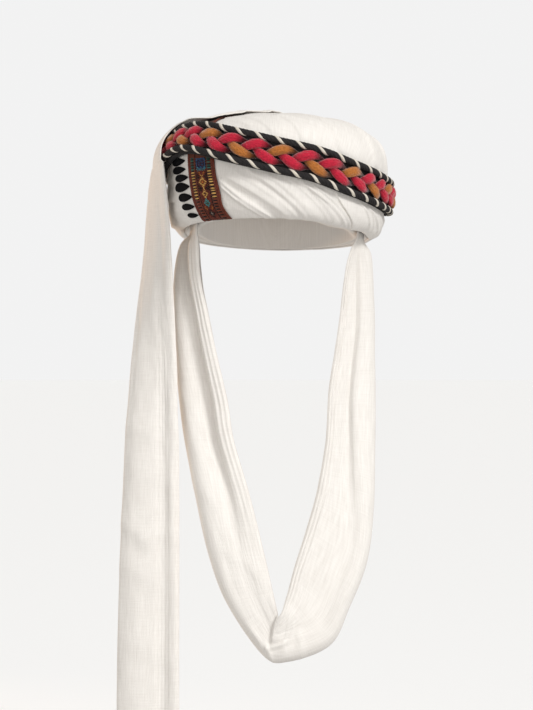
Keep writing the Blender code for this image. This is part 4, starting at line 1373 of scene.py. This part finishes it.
def embroidery_look():
    """Each stitch in its own thread's colour, with the thread's strands across it."""
    look, tree, shader = new_look("embroidery thread", (0.3, 0.1, 0.05), 0.62, 0.15)
    thread = node(tree, "ShaderNodeAttribute", attribute_name="Thread")
    place = tree.nodes.new("ShaderNodeTexCoord")
    speck = node(tree, "ShaderNodeTexNoise", Vector=place.outputs["Object"], Scale=900.0, Detail=2.0)
    mix = tree.nodes.new("ShaderNodeMix")
    mix.data_type, mix.blend_type = "RGBA", "OVERLAY"
    mix.inputs["Factor"].default_value = 0.55
    tree.links.new(thread.outputs["Color"], mix.inputs["A"])
    tree.links.new(speck.outputs["Fac"], mix.inputs["B"])
    tree.links.new(mix.outputs["Result"], shader.inputs["Base Color"])
    bumped(tree, shader, speck.outputs["Fac"], 0.0004, 0.5)
    return look


def floor_look():
    """Pale as the camera sees it, and greyer in the light it throws back."""
    look, tree, shader = new_look("pale floor", FLOOR_SEEN, 0.9, 0)
    path = tree.nodes.new("ShaderNodeLightPath")
    tinted(tree, shader, path.outputs["Is Camera Ray"], FLOOR_BOUNCE, FLOOR_SEEN)
    return look


def stage(name, look):
    """A wide pale floor."""
    shape = bmesh.new()
    bmesh.ops.create_circle(shape, cap_ends=True, segments=64, radius=FLOOR_RADIUS)
    bmesh.ops.translate(shape, verts=shape.verts, vec=(0, 0, FLOOR_HEIGHT))
    mesh = bpy.data.meshes.new(name)
    shape.to_mesh(mesh)
    shape.free()
    floor = added(name, mesh)
    mesh.materials.append(look)


def lamp(name, place, target, size, power, colour):
    light = bpy.data.lights.new(name, "AREA")
    light.shape = "DISK"
    light.size = size
    light.energy = power
    light.color = colour
    holder = added(name, light)
    holder.location = place
    light.spread = math.radians(LAMP_SPREAD)
    aim = holder.location - Vector(target)
    holder.rotation_euler = aim.to_track_quat("Z", "Y").to_euler()


def camera():
    eye = bpy.data.cameras.new("camera")
    eye.sensor_fit = "VERTICAL"
    eye.sensor_height = SENSOR
    eye.lens = SENSOR * CAMERA_DISTANCE / (PHOTO_HEIGHT * PIXEL)
    holder = added("camera", eye)
    holder.location = (CAMERA_ASIDE, -CAMERA_DISTANCE * MM, CAMERA_HEIGHT)
    holder.rotation_euler = (math.pi / 2, 0, 0)
    bpy.context.scene.camera = holder


def sky():
    """Soft light from all round, and a paler plain background behind the object."""
    world = bpy.data.worlds.new("studio")
    world.use_nodes = True
    tree = world.node_tree
    soft = tree.nodes["Background"]
    soft.inputs[0].default_value = (1.0, 0.975, 0.94, 1)
    soft.inputs[1].default_value = SKY_LIGHT
    plain = node(tree, "ShaderNodeBackground", Color=(1, 1, 1, 1), Strength=BACKGROUND)
    path = tree.nodes.new("ShaderNodeLightPath")
    mix = tree.nodes.new("ShaderNodeMixShader")
    tree.links.new(path.outputs["Is Camera Ray"], mix.inputs[0])
    tree.links.new(soft.outputs[0], mix.inputs[1])
    tree.links.new(plain.outputs[0], mix.inputs[2])
    tree.links.new(mix.outputs[0], tree.nodes["World Output"].inputs[0])
    bpy.context.scene.world = world


def sun(name, way, strength, width, colour):
    light = bpy.data.lights.new(name, "SUN")
    light.energy = strength
    light.angle = math.radians(width)
    light.color = colour
    holder = added(name, light)
    holder.rotation_euler = Vector(way).to_track_quat("Z", "Y").to_euler()


def studio():
    sky()
    bpy.context.scene.view_settings.view_transform = "Standard"
    sun("key", (0.78, -0.86, 0.82), 1.78, 16, (1.0, 0.995, 0.985))
    lamp("front", (0.9, -2.4, 0.1), (0, 0, -0.1), 1.2, 1.15, (1.0, 0.99, 0.975))
    lamp("left fill", (-1.5, -1.9, 0.1), (-0.1, 0, -0.15), 1.2, 0.9, (1.0, 0.95, 0.9))
    lamp("warm rim", (-1.3, 1.35, -0.25), (-0.05, 0, -0.1), 0.6, 2.0, (1.0, 0.66, 0.42))
    stage("pale_floor", floor_look())


def main():
    cotton = cotton_look(weave_group())
    black = thread_look(
        "black thread", (0.004, 0.004, 0.005), (0.052, 0.048, 0.049), 0.85, 0.05, (2500, 300, 1))
    satin = thread_look(
        "black satin", (0.0015, 0.0015, 0.002), (0.006, 0.006, 0.007), 0.8, 0.0, (1500, 200, 1))
    cream = thread_look(
        "cream thread", (0.50, 0.45, 0.38), (0.84, 0.79, 0.70), 0.8, 0.1, (2500, 300, 1))
    brown = thread_look(
        "brown ground", (0.07, 0.022, 0.015), (0.17, 0.058, 0.036), 0.85, 0.1, (300, 2200, 1))
    # The dark tone of each wool serves its streaks and its painted shade where strands dive
    red = wool_look("red wool", (0.05, 0.002, 0.005), (0.56, 0.022, 0.052))
    orange = wool_look("orange wool", (0.06, 0.018, 0.005), (0.49, 0.175, 0.042))
    crown_cloth(cotton)
    brow_cloth(cotton)
    outer_cloth(cotton)
    strip_ground(brown)
    strip_stitches(embroidery_look())
    for number, row in enumerate(TEARDROPS, 1):
        drop(number, *row, satin)
    band_ground(black)
    for number, (name, look, slot) in enumerate((
        ("red_a", red, "red_wool"), ("red_b", red, "red_wool"), ("orange", orange, "orange_wool"),
    )):
        strand(f"strand_{name}", f"plait_{name}", number, look)
        wool_fuzz(f"fuzz_{name}", number, look)
    edge_cord("upper", CORD_OFFSET, black, cream)
    edge_cord("lower", -CORD_OFFSET, black, cream)
    tail_cloth(cotton)
    chin_cloth(cotton)
    camera()
    studio()


main()
